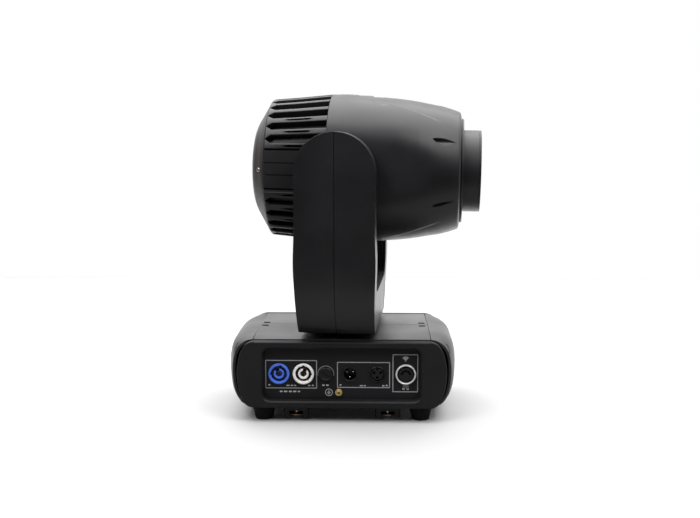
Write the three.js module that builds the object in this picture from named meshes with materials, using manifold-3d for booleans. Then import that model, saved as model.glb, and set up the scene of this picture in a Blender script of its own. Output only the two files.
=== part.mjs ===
// A compact moving head spot light: a base with a connector side and a display side,
// a yoke that pans on the base, and a head that tilts between the arms of the yoke.
// Units are millimetres. +Z is up. The origin is where the pan axis meets the underside of the base.
// The connector side faces -Y, the display side faces +Y, and the beam leaves towards +X.
import * as THREE from "three";
import { mergeVertices } from "three/addons/utils/BufferGeometryUtils.js";
import Module from "manifold-3d";

const wasm = await Module();
wasm.setup();

// ---------- driving dimensions ----------
const GAP = 0.3; // clearance left between neighbouring pieces
const WALL = 3; // wall of the moulded covers

const BASE_TOP = 84.1; // top covers above the underside
const FRAME_Y = 93; // outer face of the two end frames
const FRAME_DEPTH = 9; // depth of an end frame
const SEAM_X = 108.8; // seam between the top covers and the side shells
const PANEL_Y = 84; // outer face of the connector panel
const BOSS_R = 40, TRAY_UNDERSIDE = 0.6; // the boss is the lowest part of the tray, and the origin lies on it
const FOOT_HEIGHT = 18.5;
const FOOT_X = 97, FOOT_Y = 70;
const RECEPTACLE_X = 56.5, RECEPTACLE_Y = 77, RECEPTACLE_BOTTOM = -13;
const CONNECTOR_Z = 41; // height of the row of connectors
const X_INLET = -77, X_OUTLET = -47, X_FUSE = -19.5, X_DATA_IN = 10, X_DATA_OUT = 43.5, X_FIVE_PIN = 78.3;

const PAN_REST = -0.0709; // the yoke's turn on the base at rest
const YOKE_BOTTOM = 91, CROSSBAR_TOP = 142;
const ARM_OUT = 113.8, ARM_IN = 84, ARM_HALF = 47.9; // outer face, inner face and half-width of an arm
const TILT_Z = 287.6; // height of the tilt axis
const TILT_REST = 0.014; // the head's tilt at rest, lens down

const PULLEY_LARGE = 36, PAN_PULLEY_SMALL = 8, PAN_MOTOR_Y = 52;
const TILT_PULLEY = 30, TILT_PULLEY_SMALL = 7.5, TILT_MOTOR_DROP = 92;
const HEAD_FLAT = 82.5; // half-width of the head where its sides are flattened
const HEAD_JOINT = -14; // where the finned rear housing meets the front shell
const CAP_JOINT = -87; // where the rear cap meets the finned housing
const SHELL_FRONT = 147.6, RING_FRONT = 151.8, BARREL_FRONT = 173.8, BARREL_R = 49.8;

// ---------- colours ----------
const mat = (color, roughness, metalness = 0) => new THREE.MeshStandardMaterial({ color, roughness, metalness });
const BLACK_ABS = () => mat(0x1d1d1f, 0.55);
const BLACK_METAL = () => mat(0x19191b, 0.5, 0.3);
const RUBBER = () => mat(0x121212, 0.9);
const STEEL = () => mat(0xa9acb0, 0.35, 1);
const ALU = () => mat(0xb9bcc0, 0.4, 1);

// ---------- solids ----------
// A closed three.js geometry as a manifold solid facing outwards.
function S(g) {
  g = g.clone();
  g.deleteAttribute("normal");
  g.deleteAttribute("uv");
  g = mergeVertices(g, 1e-4);
  const idx = g.index.array, keep = [];
  for (let i = 0; i < idx.length; i += 3) {
    const [a, b, c] = [idx[i], idx[i + 1], idx[i + 2]];
    if (a !== b && b !== c && a !== c) keep.push(a, b, c);
  }
  const build = (tri) =>
    new wasm.Manifold(new wasm.Mesh({ numProp: 3, vertProperties: new Float32Array(g.attributes.position.array), triVerts: new Uint32Array(tri) }));
  let s = build(keep);
  if (s.volume() < 0) {
    for (let i = 0; i < keep.length; i += 3) [keep[i + 1], keep[i + 2]] = [keep[i + 2], keep[i + 1]];
    s = build(keep);
  }
  return s;
}
// A manifold solid back as a three.js geometry.
function G(s) {
  const m = s.getMesh(), g = new THREE.BufferGeometry();
  g.setAttribute("position", new THREE.BufferAttribute(new Float32Array(m.vertProperties), 3));
  g.setIndex(new THREE.BufferAttribute(new Uint32Array(m.triVerts), 1));
  g.computeVertexNormals();
  return g;
}
const box = (x0, x1, y0, y1, z0, z1) =>
  S(new THREE.BoxGeometry(x1 - x0, y1 - y0, z1 - z0).translate((x0 + x1) / 2, (y0 + y1) / 2, (z0 + z1) / 2));
// A profile of [radius, along] points turned about X, Y or Z.
function lathe(pts, axis = "z", seg = 24) {
  const g = new THREE.LatheGeometry(pts.map((p) => new THREE.Vector2(p[0], p[1])), seg);
  if (axis === "z") g.rotateX(Math.PI / 2);
  if (axis === "x") g.rotateZ(-Math.PI / 2);
  return g;
}
// A plain round bar between two stations on an axis.
const rod = (r, a, b, axis = "z", seg = 24) => S(lathe([[0, a], [r, a], [r, b], [0, b]], axis, seg));
const ringBar = (r0, r1, a, b, axis = "z", seg = 24) => S(lathe([[r0, a], [r1, a], [r1, b], [r0, b], [r0, a]], axis, seg));
function shapeOf(pts) {
  return new THREE.Shape(pts.map((p) => new THREE.Vector2(p[0], p[1])));
}
// An outline in X and Z extruded along Y from y0 to y1.
function extrudeY(pts, y0, y1, steps = 1) {
  return new THREE.ExtrudeGeometry(shapeOf(pts), { depth: y1 - y0, bevelEnabled: false, steps }).rotateX(Math.PI / 2).translate(0, y1, 0);
}
// An outline in Y and Z extruded along X from x0 to x1.
function extrudeX(pts, x0, x1, steps = 1) {
  return new THREE.ExtrudeGeometry(shapeOf(pts), { depth: x1 - x0, bevelEnabled: false, steps })
    .rotateX(Math.PI / 2).rotateZ(Math.PI / 2).translate(x0, 0, 0);
}
// An outline in X and Y extruded along Z from z0 to z1.
function extrudeZ(pts, z0, z1) {
  return new THREE.ExtrudeGeometry(shapeOf(pts), { depth: z1 - z0, bevelEnabled: false }).translate(0, 0, z0);
}
function roundRect(x0, x1, y0, y1, r, n = 4) {
  const p = [];
  for (const [cx, cy, a0] of [[x1 - r, y0 + r, -90], [x1 - r, y1 - r, 0], [x0 + r, y1 - r, 90], [x0 + r, y0 + r, 180]])
    for (let i = 0; i <= n; i++) {
      const a = ((a0 + (90 * i) / n) * Math.PI) / 180;
      p.push([cx + r * Math.cos(a), cy + r * Math.sin(a)]);
    }
  return p;
}
const union = (...s) => s.reduce((a, b) => a.add(b));
const cut = (a, ...b) => b.reduce((m, s) => m.subtract(s), a);

const root = new THREE.Group();
function put(group, name, solid, material, pos) {
  const m = new THREE.Mesh(solid.isBufferGeometry ? G(S(solid)) : G(solid), material);
  m.name = name;
  if (pos) m.position.set(...pos);
  group.add(m);
  return m;
}

// =====================================================================
// Base
// =====================================================================
const base = new THREE.Group();
root.add(base);

// Half outline of an end frame, [half-width, height], from the bottom edge up.
const FRAME_SIDE = [[107, 0], [113.2, 0.6], [119.3, 4], [122.9, 10], [126.4, 18.6], [128.7, 28.6], [129.8, 40], [129.4, 50], [127.6, 60], [124.4, 70], [119.4, 78], [114.5, 82.6], [108.8, 84]];
// The same outline in the middle of a side shell.
const SHELL_SIDE = [[109, 0], [121, 0.6], [130, 4], [136, 10], [140.5, 18.6], [142.8, 28.6], [143.6, 40], [144, 50], [141.5, 60], [135.5, 70], [126.5, 78], [118, 82.6], [108.8, 84.1]];

// ----- bottom tray: pressed steel with a turned-up rim and a round boss pressed down in its middle -----
{
  const t = cut(
    S(extrudeZ(roundRect(-105, 105, -83.6, 83.6, 6), TRAY_UNDERSIDE, 14)),
    S(extrudeZ(roundRect(-103.4, 103.4, -82, 82, 5), 1.6, 15)),
  ).add(rod(BOSS_R, 0, 1.4, "z", 32));
  put(base, "base_tray", t, BLACK_METAL());
}
// ----- end frames with the panel opening -----
function endFrame(sign, name) {
  const out = [...FRAME_SIDE, ...FRAME_SIDE.map(([x, z]) => [-x, z]).reverse()];
  const face = extrudeY(out, FRAME_Y - FRAME_DEPTH, FRAME_Y);
  const hole = extrudeY(roundRect(-94, 94, 11, 71, 8), 80, 100);
  let s = cut(S(face), S(hole));
  // ears that stand a little above the top covers at the two upper corners
  for (const k of [-1, 1]) s = s.add(box(Math.min(k * 107.5, k * 114), Math.max(k * 107.5, k * 114), FRAME_Y - 4, FRAME_Y, 80, 85));
  if (sign < 0) s = s.rotate([0, 0, 180]);
  put(base, name, s, BLACK_ABS());
}
endFrame(-1, "connector_frame");
endFrame(1, "display_frame");

// ----- side shells, bulging outwards in the middle -----
function sideShell(sign, name) {
  const yEnd = FRAME_Y - FRAME_DEPTH - GAP;
  const xin = SEAM_X - 3.2 + GAP;
  const widthAt = (z, y, table) => {
    const at = (t) => {
      for (let i = 1; i < t.length; i++) if (z <= t[i][1] + 1e-6) {
        const k = (z - t[i - 1][1]) / Math.max(1e-6, t[i][1] - t[i - 1][1]);
        return t[i - 1][0] + k * (t[i][0] - t[i - 1][0]);
      }
      return t[t.length - 1][0];
    };
    const w = (y / FRAME_Y) ** 2;
    return at(SHELL_SIDE) * (1 - w) + at(FRAME_SIDE) * w;
  };
  // the outline is moved in or out at each station along Y to follow the bulge
  const bulge = (g, inset) => {
    const p = g.attributes.position;
    for (let i = 0; i < p.count; i++) {
      const x = p.getX(i), y = p.getY(i), z = p.getZ(i);
      if (x > SEAM_X + 0.5) {
        p.setX(i, widthAt(Math.min(84, z), y) - inset);
      }
    }
    return g;
  };
  const outer = [[xin, 0], ...SHELL_SIDE, [xin, 84.1]];
  const inner = [[xin - 5, WALL], ...SHELL_SIDE.slice(1, -1).map(([x, z]) => [x - WALL, Math.min(84 - WALL, Math.max(WALL, z))]).filter((q, i, a) => i === 0 || i === a.length - 1 || (q[1] > WALL && q[1] < 84 - WALL)), [xin - 5, 84 - WALL]];
  const so = S(bulge(extrudeY(outer, -yEnd, yEnd, 6), 0));
  const si = S(bulge(extrudeY(inner, -yEnd - 1, yEnd + 1, 6), WALL));
  let s = so.subtract(si);
  if (sign < 0) s = s.rotate([0, 0, 180]);
  put(base, name, s, BLACK_ABS());
}
sideShell(1, "side_shell_right");
sideShell(-1, "side_shell_left");

// ----- top covers: two halves round the pan hub, each with slots at its ends -----
function topCover(sign, name) {
  let s = S(extrudeZ([[-SEAM_X + 3.2, GAP / 2], [SEAM_X - 3.2, GAP / 2], [SEAM_X - 3.2, 83.6], [-SEAM_X + 3.2, 83.6]], 80.6, BASE_TOP));
  s = s.subtract(rod(42 + GAP, 70, 90, "z", 28));
  for (const x of [-101, 101]) for (const y of [5.5, 12.5]) s = s.subtract(box(x - 4, x + 4, y - 1.1, y + 1.1, 78, 90));
  if (sign < 0) s = s.rotate([0, 0, 180]);
  put(base, name, s, BLACK_ABS());
}
topCover(-1, "top_cover_connector_side");
topCover(1, "top_cover_display_side");

// ----- connector panel with the holes for its connectors -----
{
  let s = box(-100, 100, -PANEL_Y + 0.2, -PANEL_Y + 2.2, 15, 80);
  for (const [x, r] of [[X_INLET, 12.5], [X_OUTLET, 12.5], [X_FUSE, 6.8], [X_DATA_IN, 9.5], [X_DATA_OUT, 9.5], [X_FIVE_PIN, 11.5]])
    s = s.subtract(rod(r, -10, 10, "z", 14).rotate([90, 0, 0]).translate([x, -PANEL_Y, CONNECTOR_Z]));
  put(base, "connector_panel", s, BLACK_METAL());
}
// ----- display panel with a window and four button holes -----
const BUTTON_X = [-24, -8, 8, 24];
{
  let s = box(-100, 100, PANEL_Y - 2.2, PANEL_Y - 0.2, 15, 80);
  s = s.subtract(box(-30, 30, 70, 90, 36, 68));
  for (const x of BUTTON_X) s = s.subtract(rod(3.5, -10, 10, "z", 12).rotate([90, 0, 0]).translate([x, PANEL_Y, 25]));
  put(base, "display_panel", s, BLACK_METAL());
}

// ----- connectors; each profile is [radius, depth], depth running out of the panel -----
const outOf = (s, x, z = CONNECTOR_Z) => s.rotate([90, 0, 0]).translate([x, -PANEL_Y, z]);
function mains(name, x, color) {
  // a body through the panel, a front ring, an annular socket and a centre boss
  const s = S(lathe([[0, -18], [11.8, -18], [11.8, 0.15], [13, 0.15], [13, 2.7], [11.6, 2.7], [11.6, -12], [6.3, -12], [6.3, 2], [0, 2]], "z", 10));
  put(base, name, outOf(s, x), mat(color, 0.45));
}
mains("power_inlet", X_INLET, 0x2f62d8);
mains("power_outlet", X_OUTLET, 0xe9e9ec);
{
  const s = S(lathe([[0, -16], [8.9, -16], [8.9, 0.15], [9.6, 0.15], [9.6, 1.4], [7.9, 1.6], [7.9, -13], [0, -13]], "z", 18));
  const pins = [[-3.9, 2.6], [3.9, 2.6], [0, -4.2]].map(([a, b]) => rod(1.2, -14, -1, "z", 6).translate([a, b, 0]));
  put(base, "data_inlet", outOf(union(s, ...pins), X_DATA_IN), mat(0x111111, 0.5));
}
{
  let s = S(lathe([[0, -16], [8.9, -16], [8.9, 0.15], [9.8, 0.15], [9.8, 1.6], [8.6, 1.9], [8.6, -1.5], [7.7, -1.5], [7.7, 0.9], [0, 0.9]], "z", 18));
  for (const [a, b] of [[-3.9, 2.6], [3.9, 2.6], [0, -4.2]]) s = s.subtract(rod(1.3, -9, 4, "z", 6).translate([a, b, 0]));
  put(base, "data_outlet", outOf(s, X_DATA_OUT), mat(0x111111, 0.5));
}
{
  let s = S(lathe([[0, -16], [10.8, -16], [10.8, 0.15], [12.7, 0.15], [12.7, 2.6], [10.6, 3], [10.6, -1], [9.6, -1], [9.6, 1.4], [0, 1.4]], "z", 20));
  for (let i = 0; i < 5; i++) {
    const a = (Math.PI * (20 + 35 * i)) / 180;
    s = s.subtract(rod(0.95, -8, 4, "z", 6).translate([5 * Math.cos(a), 5 * Math.sin(a) - 1, 0]));
  }
  s = s.subtract(box(-4.2, 4.2, -16, -9.4, 0.1, 6)); // the gap in the ring for the latch
  put(base, "five_pin_socket", outOf(s, X_FIVE_PIN), mat(0xd8d8dc, 0.2, 1));
}
// push latch: slides down along its own face to free the plug
put(base, "socket_latch", outOf(union(box(-3.8, 3.8, -16.2, -13.1, 0.2, 2.2), box(-3.8, 3.8, -13.2, -9.9, 0.35, 2.2)), X_FIVE_PIN), mat(0x2a2a2c, 0.5));
// fuse holder cap: a screw cap with a screwdriver slot
{
  let s = S(lathe([[0, -14], [6.2, -14], [6.2, 0.3], [8.7, 0.3], [8.7, 3.2], [8, 3.8], [0, 3.8]], "z", 18));
  s = s.subtract(box(-6.5, 6.5, -0.6, 0.6, 2.6, 6).rotate([0, 0, -35]));
  put(base, "fuse_cap", outOf(s, X_FUSE), mat(0x151515, 0.45));
}
// ground screw with its washer
{
  let s = S(lathe([[0, 0.1], [4.5, 0.1], [4.5, 1], [3.3, 1], [3.3, 2.2], [2.6, 2.9], [0, 2.9]], "z", 10));
  s = s.subtract(box(-2.6, 2.6, -0.4, 0.4, 2.1, 4)).subtract(box(-0.4, 0.4, -2.6, 2.6, 2.1, 4));
  put(base, "ground_screw", outOf(s, -3.7, 17.7), mat(0xb8934a, 0.35, 1));
}
// ----- display window and menu buttons -----
put(base, "display_window", box(-34, 34, PANEL_Y + 0.1, PANEL_Y + 1.7, 33, 71).subtract(box(-28, 28, PANEL_Y + 1.2, PANEL_Y + 3, 38, 66)), mat(0x0d1420, 0.15));
BUTTON_X.forEach((x, i) => {
  const s = S(lathe([[0, -9], [3, -9], [3, 3], [2.4, 3.6], [0, 3.6]], "z", 10)).rotate([-90, 0, 0]).translate([x, PANEL_Y, 25]);
  put(base, "menu_button_" + (i + 1), s, mat(0x2b2b2e, 0.5));
});
// ----- feet and bracket receptacles under the base -----
[[-1, -1], [1, -1], [-1, 1], [1, 1]].forEach(([i, j], n) => {
  const f = S(lathe([[0, -FOOT_HEIGHT], [10.6, -FOOT_HEIGHT], [11.2, -FOOT_HEIGHT + 0.8], [14.3, -4], [14.3, -0.2], [8, -0.2], [8, TRAY_UNDERSIDE - GAP], [0, TRAY_UNDERSIDE - GAP]], "z", 16));
  put(base, "rubber_foot_" + (n + 1), f, RUBBER(), [i * FOOT_X, j * FOOT_Y, 0]);
  let r = S(extrudeZ(roundRect(-15.5, 15.5, -11, 11, 3, 2), RECEPTACLE_BOTTOM, TRAY_UNDERSIDE - GAP));
  r = r.subtract(ringBar(4.5, 9.2, -16, -4, "z", 14));
  put(base, "bracket_receptacle_" + (n + 1), r, mat(0x1b1b1c, 0.5), [i * RECEPTACLE_X, j * (RECEPTACLE_Y - 6), 0]);
});
// ----- inside the base -----
put(base, "power_supply", box(36, 98, -62, 62, 2.4, 44), ALU());
put(base, "control_board", box(-70, 30, 71, 72.6, 15, 76), mat(0x1d5a34, 0.6));
// hollow pan shaft on its foot, with the hub disc that carries the yoke
put(base, "pan_shaft",
  S(lathe([[8, 2], [30, 2], [30, 8], [15, 12], [15, 74], [42, 77], [42, 90.6], [25, 90.6], [25, 97.6], [14, 97.6], [14, 131], [8, 131], [8, 2]], "z", 22)), ALU());
put(base, "pan_pulley", ringBar(14 + GAP, PULLEY_LARGE, 98, 104, "z", 32), ALU());

// =====================================================================
// Yoke
// =====================================================================
const yoke = new THREE.Group();
yoke.rotation.z = PAN_REST;
root.add(yoke);

// outline of the yoke seen along X: outer side, then inner side
const yokeOutline = (t) => {
  const out = [[ARM_OUT - t, 172], [111.8 - t, 150], [107.8 - t, 132], [101 - t, 116], [91 - t, 102], [80 - t, 94], [71, YOKE_BOTTOM + t]];
  const inn = [[ARM_IN + t, 158], [81.5 + t, 149.5], [76, 144 - 0.8 * t], [68, CROSSBAR_TOP - t]];
  const top = 345;
  const right = [[ARM_OUT - t, top], ...out];
  return [...inn.slice().reverse(), [ARM_IN + t, top], ...right, ...right.slice().reverse().map(([a, b]) => [-a, b]), [-ARM_IN - t, top], ...inn.map(([a, b]) => [-a, b])];
};
// outline of an arm seen along Y
const armFace = (t) => {
  const p = [], r = ARM_HALF - t;
  for (let i = 0; i <= 14; i++) {
    const a = (Math.PI * i) / 14;
    p.push([r * Math.cos(a), TILT_Z + r * Math.sin(a)]);
  }
  return [...p, [-r, 204], [-46.2 + t, 160], [-44 + t, 92.5 + t], [0, 90.6 + t], [44 - t, 92.5 + t], [46.2 - t, 160], [r, 204]];
};
const yokeSolid = (t) => S(extrudeX(yokeOutline(t), -60, 60)).intersect(S(extrudeY(armFace(t), -130, 130)));
{
  let s = cut(yokeSolid(0), yokeSolid(WALL));
  s = s.subtract(rod(27, 80, 100, "z", 24)); // round the pan hub
  for (const k of [-1, 1]) s = s.subtract(rod(12, k > 0 ? 80 : -90, k > 0 ? 90 : -80, "y", 24).translate([0, 0, TILT_Z]));
  put(yoke, "yoke_cover_rear", s.intersect(box(-80, -GAP / 2, -200, 200, 0, 500)), BLACK_ABS());
  put(yoke, "yoke_cover_front", s.intersect(box(GAP / 2, 80, -200, 200, 0, 500)), BLACK_ABS());
}
// folded steel frame inside the covers
{
  const outline = [[69, 95.6], [89.6, 132], [89.6, 308], [87.6, 308], [87.6, 133], [67.9, 97.4], [-67.9, 97.4], [-87.6, 133], [-87.6, 308], [-89.6, 308], [-89.6, 132], [-69, 95.6]];
  let s = S(extrudeX(outline, -34, 34));
  s = s.subtract(rod(27, 80, 100, "z", 24));
  s = s.subtract(rod(9 + GAP, -120, 120, "y", 20).translate([0, 0, TILT_Z]));
  for (const z of [160, 240]) s = s.subtract(rod(12, -120, -60, "y", 12).translate([0, 0, z])); // lightening holes in the idle arm
  put(yoke, "yoke_frame", s, STEEL());
}
// pan drive: the motor hangs from the frame and turns round the fixed pulley
put(yoke, "pan_motor", union(box(-21, 21, PAN_MOTOR_Y - 21, PAN_MOTOR_Y + 19, 108, 134), rod(2.5, 98, 109, "z", 10).translate([0, PAN_MOTOR_Y, 0])), mat(0x202022, 0.4, 0.6));
put(yoke, "pan_motor_pulley", ringBar(2.5 + GAP, PAN_PULLEY_SMALL, -3, 3, "z", 20), ALU(), [0, PAN_MOTOR_Y, 101]);
// a belt is a flat loop round two pulleys on parallel axes, in its own plane
function beltSolid(r0, r1, d, t, w) {
  // big pulley at the origin, small one at +Y, wrap angles from the tangent lines
  const a = Math.asin((r0 - r1) / d);
  const loop = (o) => {
    const p = [];
    for (let i = 0; i <= 22; i++) { const th = Math.PI - a + ((Math.PI + 2 * a) * i) / 22; p.push([(r0 + o) * Math.cos(th), (r0 + o) * Math.sin(th)]); }
    for (let i = 0; i <= 6; i++) { const th = a + ((Math.PI - 2 * a) * i) / 6; p.push([(r1 + o) * Math.cos(th), d + (r1 + o) * Math.sin(th)]); }
    return p;
  };
  return cut(S(extrudeZ(loop(GAP + t), -w / 2, w / 2)), S(extrudeZ(loop(GAP), -w, w)));
}
put(yoke, "pan_belt", beltSolid(PULLEY_LARGE, PAN_PULLEY_SMALL, PAN_MOTOR_Y, 1.4, 4.6), mat(0x141414, 0.8), [0, 0, 101]);
// tilt drive in the display-side arm
const TILT_MOTOR_Z = TILT_Z - TILT_MOTOR_DROP;
put(yoke, "tilt_motor",
  union(box(-21, 21, 90, 102.6, TILT_MOTOR_Z - 21, TILT_MOTOR_Z + 21), rod(2.5, 102, 109.6, "y", 10).translate([0, 0, TILT_MOTOR_Z])), mat(0x202022, 0.4, 0.6));
put(yoke, "tilt_motor_pulley", ringBar(2.5 + GAP, TILT_PULLEY_SMALL, -2.5, 2.5, "y", 20), ALU(), [0, 106.4, TILT_MOTOR_Z]);
put(yoke, "tilt_belt", beltSolid(TILT_PULLEY, TILT_PULLEY_SMALL, TILT_MOTOR_DROP, 1.4, 4.2).rotate([90, 0, 0]).rotate([0, 180, 0]), mat(0x141414, 0.8), [0, 106.4, TILT_Z]);

// =====================================================================
// Head
// =====================================================================
const head = new THREE.Group();
head.position.set(0, 0, TILT_Z);
head.rotation.y = TILT_REST;
yoke.add(head);

// outer radius along the beam axis
const CAP_PROFILE = [[0, -115.6], [20, -114.7], [43, -110.7], [64, -100.9], [75, -94.4], [86.1, CAP_JOINT]];
const REAR_PROFILE = [[86.1, CAP_JOINT], [88.8, -55.6], [93.1, HEAD_JOINT]];
const FRONT_PROFILE = [[93.2, HEAD_JOINT], [93, 17], [91.8, 22], [90.9, 43.5], [88.6, 72], [85, 97], [79.4, 122], [72.5, 143.8], [68.7, 146.4], [65, SHELL_FRONT]];
const slab = (half) => box(-200, 200, -half, half, -200, 200);
const HEAD_SEG = 28;
function shellSolid(profile, t, x0, x1) {
  const a = profile[0], b = profile[profile.length - 1];
  const pts = [[0, a[1]], ...profile.map(([r, x]) => [r - t, x]), [0, b[1]]].filter((p, i) => !(i === 1 && p[0] <= 0));
  return S(lathe(pts, "x", HEAD_SEG)).intersect(slab(HEAD_FLAT - t));
}
// front shell
{
  const outer = shellSolid(FRONT_PROFILE, 0);
  const inner = shellSolid([[93.2, HEAD_JOINT - 1], [90.4, 43.5], [84.6, 97], [75.2, 134.7], [66, SHELL_FRONT - WALL]], WALL);
  let s = outer.subtract(inner).intersect(box(HEAD_JOINT + GAP / 2, 200, -200, 200, -200, 200));
  s = s.subtract(rod(BARREL_R + GAP, 120, 170, "x", HEAD_SEG));
  s = s.subtract(rod(10, -100, 100, "y", 20)); // trunnion holes
  put(head, "head_front_shell", s, BLACK_ABS());
}
// finned rear housing with vent slots above and below
{
  const outer = shellSolid(REAR_PROFILE, 0);
  const inner = shellSolid([[86, CAP_JOINT - 1], [93.2, HEAD_JOINT + 1]], WALL);
  let s = outer.subtract(inner).intersect(box(CAP_JOINT + GAP / 2, HEAD_JOINT - GAP / 2, -200, 200, -200, 200));
  for (const up of [0, 180]) for (let k = -4; k <= 4; k++) {
    const a = up + k * 12.857;
    s = s.subtract(box(-80, -20, -4.2, 4.2, 70, 110).rotate([a, 0, 0]));
  }
  put(head, "head_rear_housing", s, BLACK_ABS());
}
// domed rear cap
{
  const outer = S(lathe([...CAP_PROFILE, [0, CAP_JOINT]], "x", HEAD_SEG)).intersect(slab(HEAD_FLAT));
  const inner = S(lathe([[0, -112.4], [42, -107.2], [71, -92.2], [82.8, CAP_JOINT + 4], [0, CAP_JOINT + 4]], "x", HEAD_SEG)).intersect(slab(HEAD_FLAT - WALL));
  put(head, "rear_cap", outer.subtract(inner).intersect(box(-200, CAP_JOINT - GAP / 2, -200, 200, -200, 200)), BLACK_ABS());
}
put(head, "front_ring", ringBar(BARREL_R + GAP, 65, SHELL_FRONT + GAP, RING_FRONT, "x", HEAD_SEG), BLACK_ABS());
put(head, "lens_barrel", S(lathe([[47.3, 118], [BARREL_R, 118], [BARREL_R, 173], [49, BARREL_FRONT], [47.8, BARREL_FRONT], [47.3, 173], [47.3, 118]], "x", HEAD_SEG)), BLACK_ABS());
put(head, "front_lens", S(lathe([[0, 150], [46.9, 150], [46.9, 155], [38, 160.5], [26, 164.5], [13, 166.8], [0, 167.5]], "x", 20)), mat(0xd8e6ee, 0.05));
// chassis: a channel that carries the optics, with a bulkhead at each end
{
  let s = union(
    box(-58, 116, -70, 70, -45, -43),
    box(-46, 46, -70, -68, -45, 45),
    box(-46, 46, 68, 70, -45, 45),
    box(36, 38, -50, 50, -44, 8).subtract(rod(20, 30, 45, "x", 20)), // rear bulkhead with the beam window
    box(112, 114, -50, 50, -44, 8).subtract(rod(32, 105, 120, "x", 24)),
    rod(2.5, 37, 113, "x", 10).translate([0, -40, 0]), // guide rods
    rod(2.5, 37, 113, "x", 10).translate([0, 40, 0]),
  );
  s = s.subtract(box(5, 11, -41, 41, -60, -40)).subtract(box(60, 130, -200, -56, -60, 0)).subtract(box(60, 130, 56, 200, -60, 0));
  put(head, "head_chassis", s, STEEL());
}
// trunnions: flange on the chassis, neck through the shell and the arm
put(head, "drive_trunnion", S(lathe([[4, 70 + GAP], [20, 70 + GAP], [20, 74], [9, 74], [9, 109.2], [4, 109.2], [4, 70 + GAP]], "y", 20)), ALU());
put(head, "idle_trunnion", S(lathe([[4, -96], [9, -96], [9, -74], [20, -74], [20, -70 - GAP], [4, -70 - GAP], [4, -96]], "y", 20)), ALU());
put(head, "tilt_pulley", ringBar(9 + GAP, TILT_PULLEY, 103.9, 108.9, "y", 28), ALU());
// light engine
{
  let s = box(-60, -22, -44, 44, -40, 44);
  for (let i = 0; i < 8; i++) s = s.subtract(box(-70, -28, -39 + i * 10.4, -34 + i * 10.4, -50, 50));
  s = s.add(S(lathe([[0, -24], [26, -24], [26, -12], [18, -2], [16, -2], [16, -8], [0, -8]], "x", 24)));
  put(head, "light_engine", s, ALU());
}
// colour and gobo wheels, each on its own spindle
function wheel(n, r, ringR, holeR, x) {
  let s = ringBar(2.6 + GAP, r, -0.75, 0.75, "x", 24);
  for (let i = 0; i < n; i++) {
    const a = (2 * Math.PI * i) / n;
    s = s.subtract(rod(holeR, -3, 3, "x", 7).translate([0, ringR * Math.sin(a), ringR * Math.cos(a)]));
  }
  return s;
}
const WHEEL_RING = 27; // the floor of the chassis is open below the colour wheel
put(head, "colour_wheel", wheel(7, 38, WHEEL_RING, 8.5), mat(0x9aa4c8, 0.2, 0.5), [8, 0, -WHEEL_RING]);
put(head, "gobo_wheel", wheel(7, 38, WHEEL_RING, 8.5), STEEL(), [20, 0, WHEEL_RING]);
put(head, "wheel_motor_bracket", union(
  box(12, 14, -36, 36, -42.7, 52).subtract(rod(14, 5, 20, "x", 20)),
  rod(2.6, 4, 13, "x", 10).translate([0, 0, -WHEEL_RING]),
  rod(2.6, 13, 24, "x", 10).translate([0, 0, WHEEL_RING]),
), STEEL());
// focus carriage on two guide rods
put(head, "focus_carriage", cut(
  union(ringBar(24, 31, -6, 6, "x", 20), box(-6, 6, -45, -28, -6, 6), box(-6, 6, 28, 45, -6, 6)),
  rod(2.5 + GAP, -10, 10, "x", 10).translate([0, -40, 0]), rod(2.5 + GAP, -10, 10, "x", 10).translate([0, 40, 0]),
).add(S(lathe([[0, -4.5], [25, -2], [25, 2], [0, 4.5]], "x", 20))), BLACK_METAL(), [72, 0, 0]);
// cooling fan at the rear
{
  const f = cut(box(-84, -66, -42, 42, -42, 42), rod(39, -90, -60, "x", 24));
  const spider = union(box(-68.4, -66.4, -2.5, 2.5, -40, 40), box(-68.4, -66.4, -40, 40, -2.5, 2.5), rod(13, -68.4, -66.4, "x", 16));
  put(head, "fan_frame", f.add(spider), mat(0x161616, 0.6));
}
{
  let s = rod(14, -82, -69, "x", 20);
  for (let i = 0; i < 7; i++) {
    const blade = box(-1, 1, -7, 7, 12, 37).rotate([0, 0, 38]).translate([-75.5, 0, 0]).rotate([(360 * i) / 7, 0, 0]);
    s = s.add(blade);
  }
  put(head, "fan_rotor", s, mat(0x1a1a1a, 0.5));
}

export default root;
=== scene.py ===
import bpy, bmesh, math, random
from math import sin, cos, pi, radians, sqrt, atan2, degrees
from mathutils import Vector, Matrix
import numpy as np


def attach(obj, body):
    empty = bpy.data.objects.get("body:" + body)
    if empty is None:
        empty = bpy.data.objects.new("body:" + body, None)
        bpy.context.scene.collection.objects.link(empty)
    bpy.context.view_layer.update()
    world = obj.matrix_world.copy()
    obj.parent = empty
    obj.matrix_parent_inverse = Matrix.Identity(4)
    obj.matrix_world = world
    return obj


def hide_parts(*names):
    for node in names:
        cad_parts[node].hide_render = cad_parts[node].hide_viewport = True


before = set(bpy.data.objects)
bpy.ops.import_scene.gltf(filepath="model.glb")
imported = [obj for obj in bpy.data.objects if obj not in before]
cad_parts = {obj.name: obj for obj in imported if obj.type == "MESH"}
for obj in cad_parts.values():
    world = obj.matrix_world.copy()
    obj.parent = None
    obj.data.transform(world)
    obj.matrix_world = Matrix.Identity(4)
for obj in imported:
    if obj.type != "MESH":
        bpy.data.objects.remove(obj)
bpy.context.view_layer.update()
random.seed(7)

# ------------------------------------------------------------------ frames
PAN, TILT, TZ = -0.0709, 0.014, 287.6
SC = Matrix.Scale(0.001, 4)
M_BASE = SC
M_YOKE = SC @ Matrix.Rotation(PAN, 4, "Z")
M_HEAD = SC @ Matrix.Rotation(PAN, 4, "Z") @ Matrix.Translation((0, 0, TZ)) @ Matrix.Rotation(TILT, 4, "Y")

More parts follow.
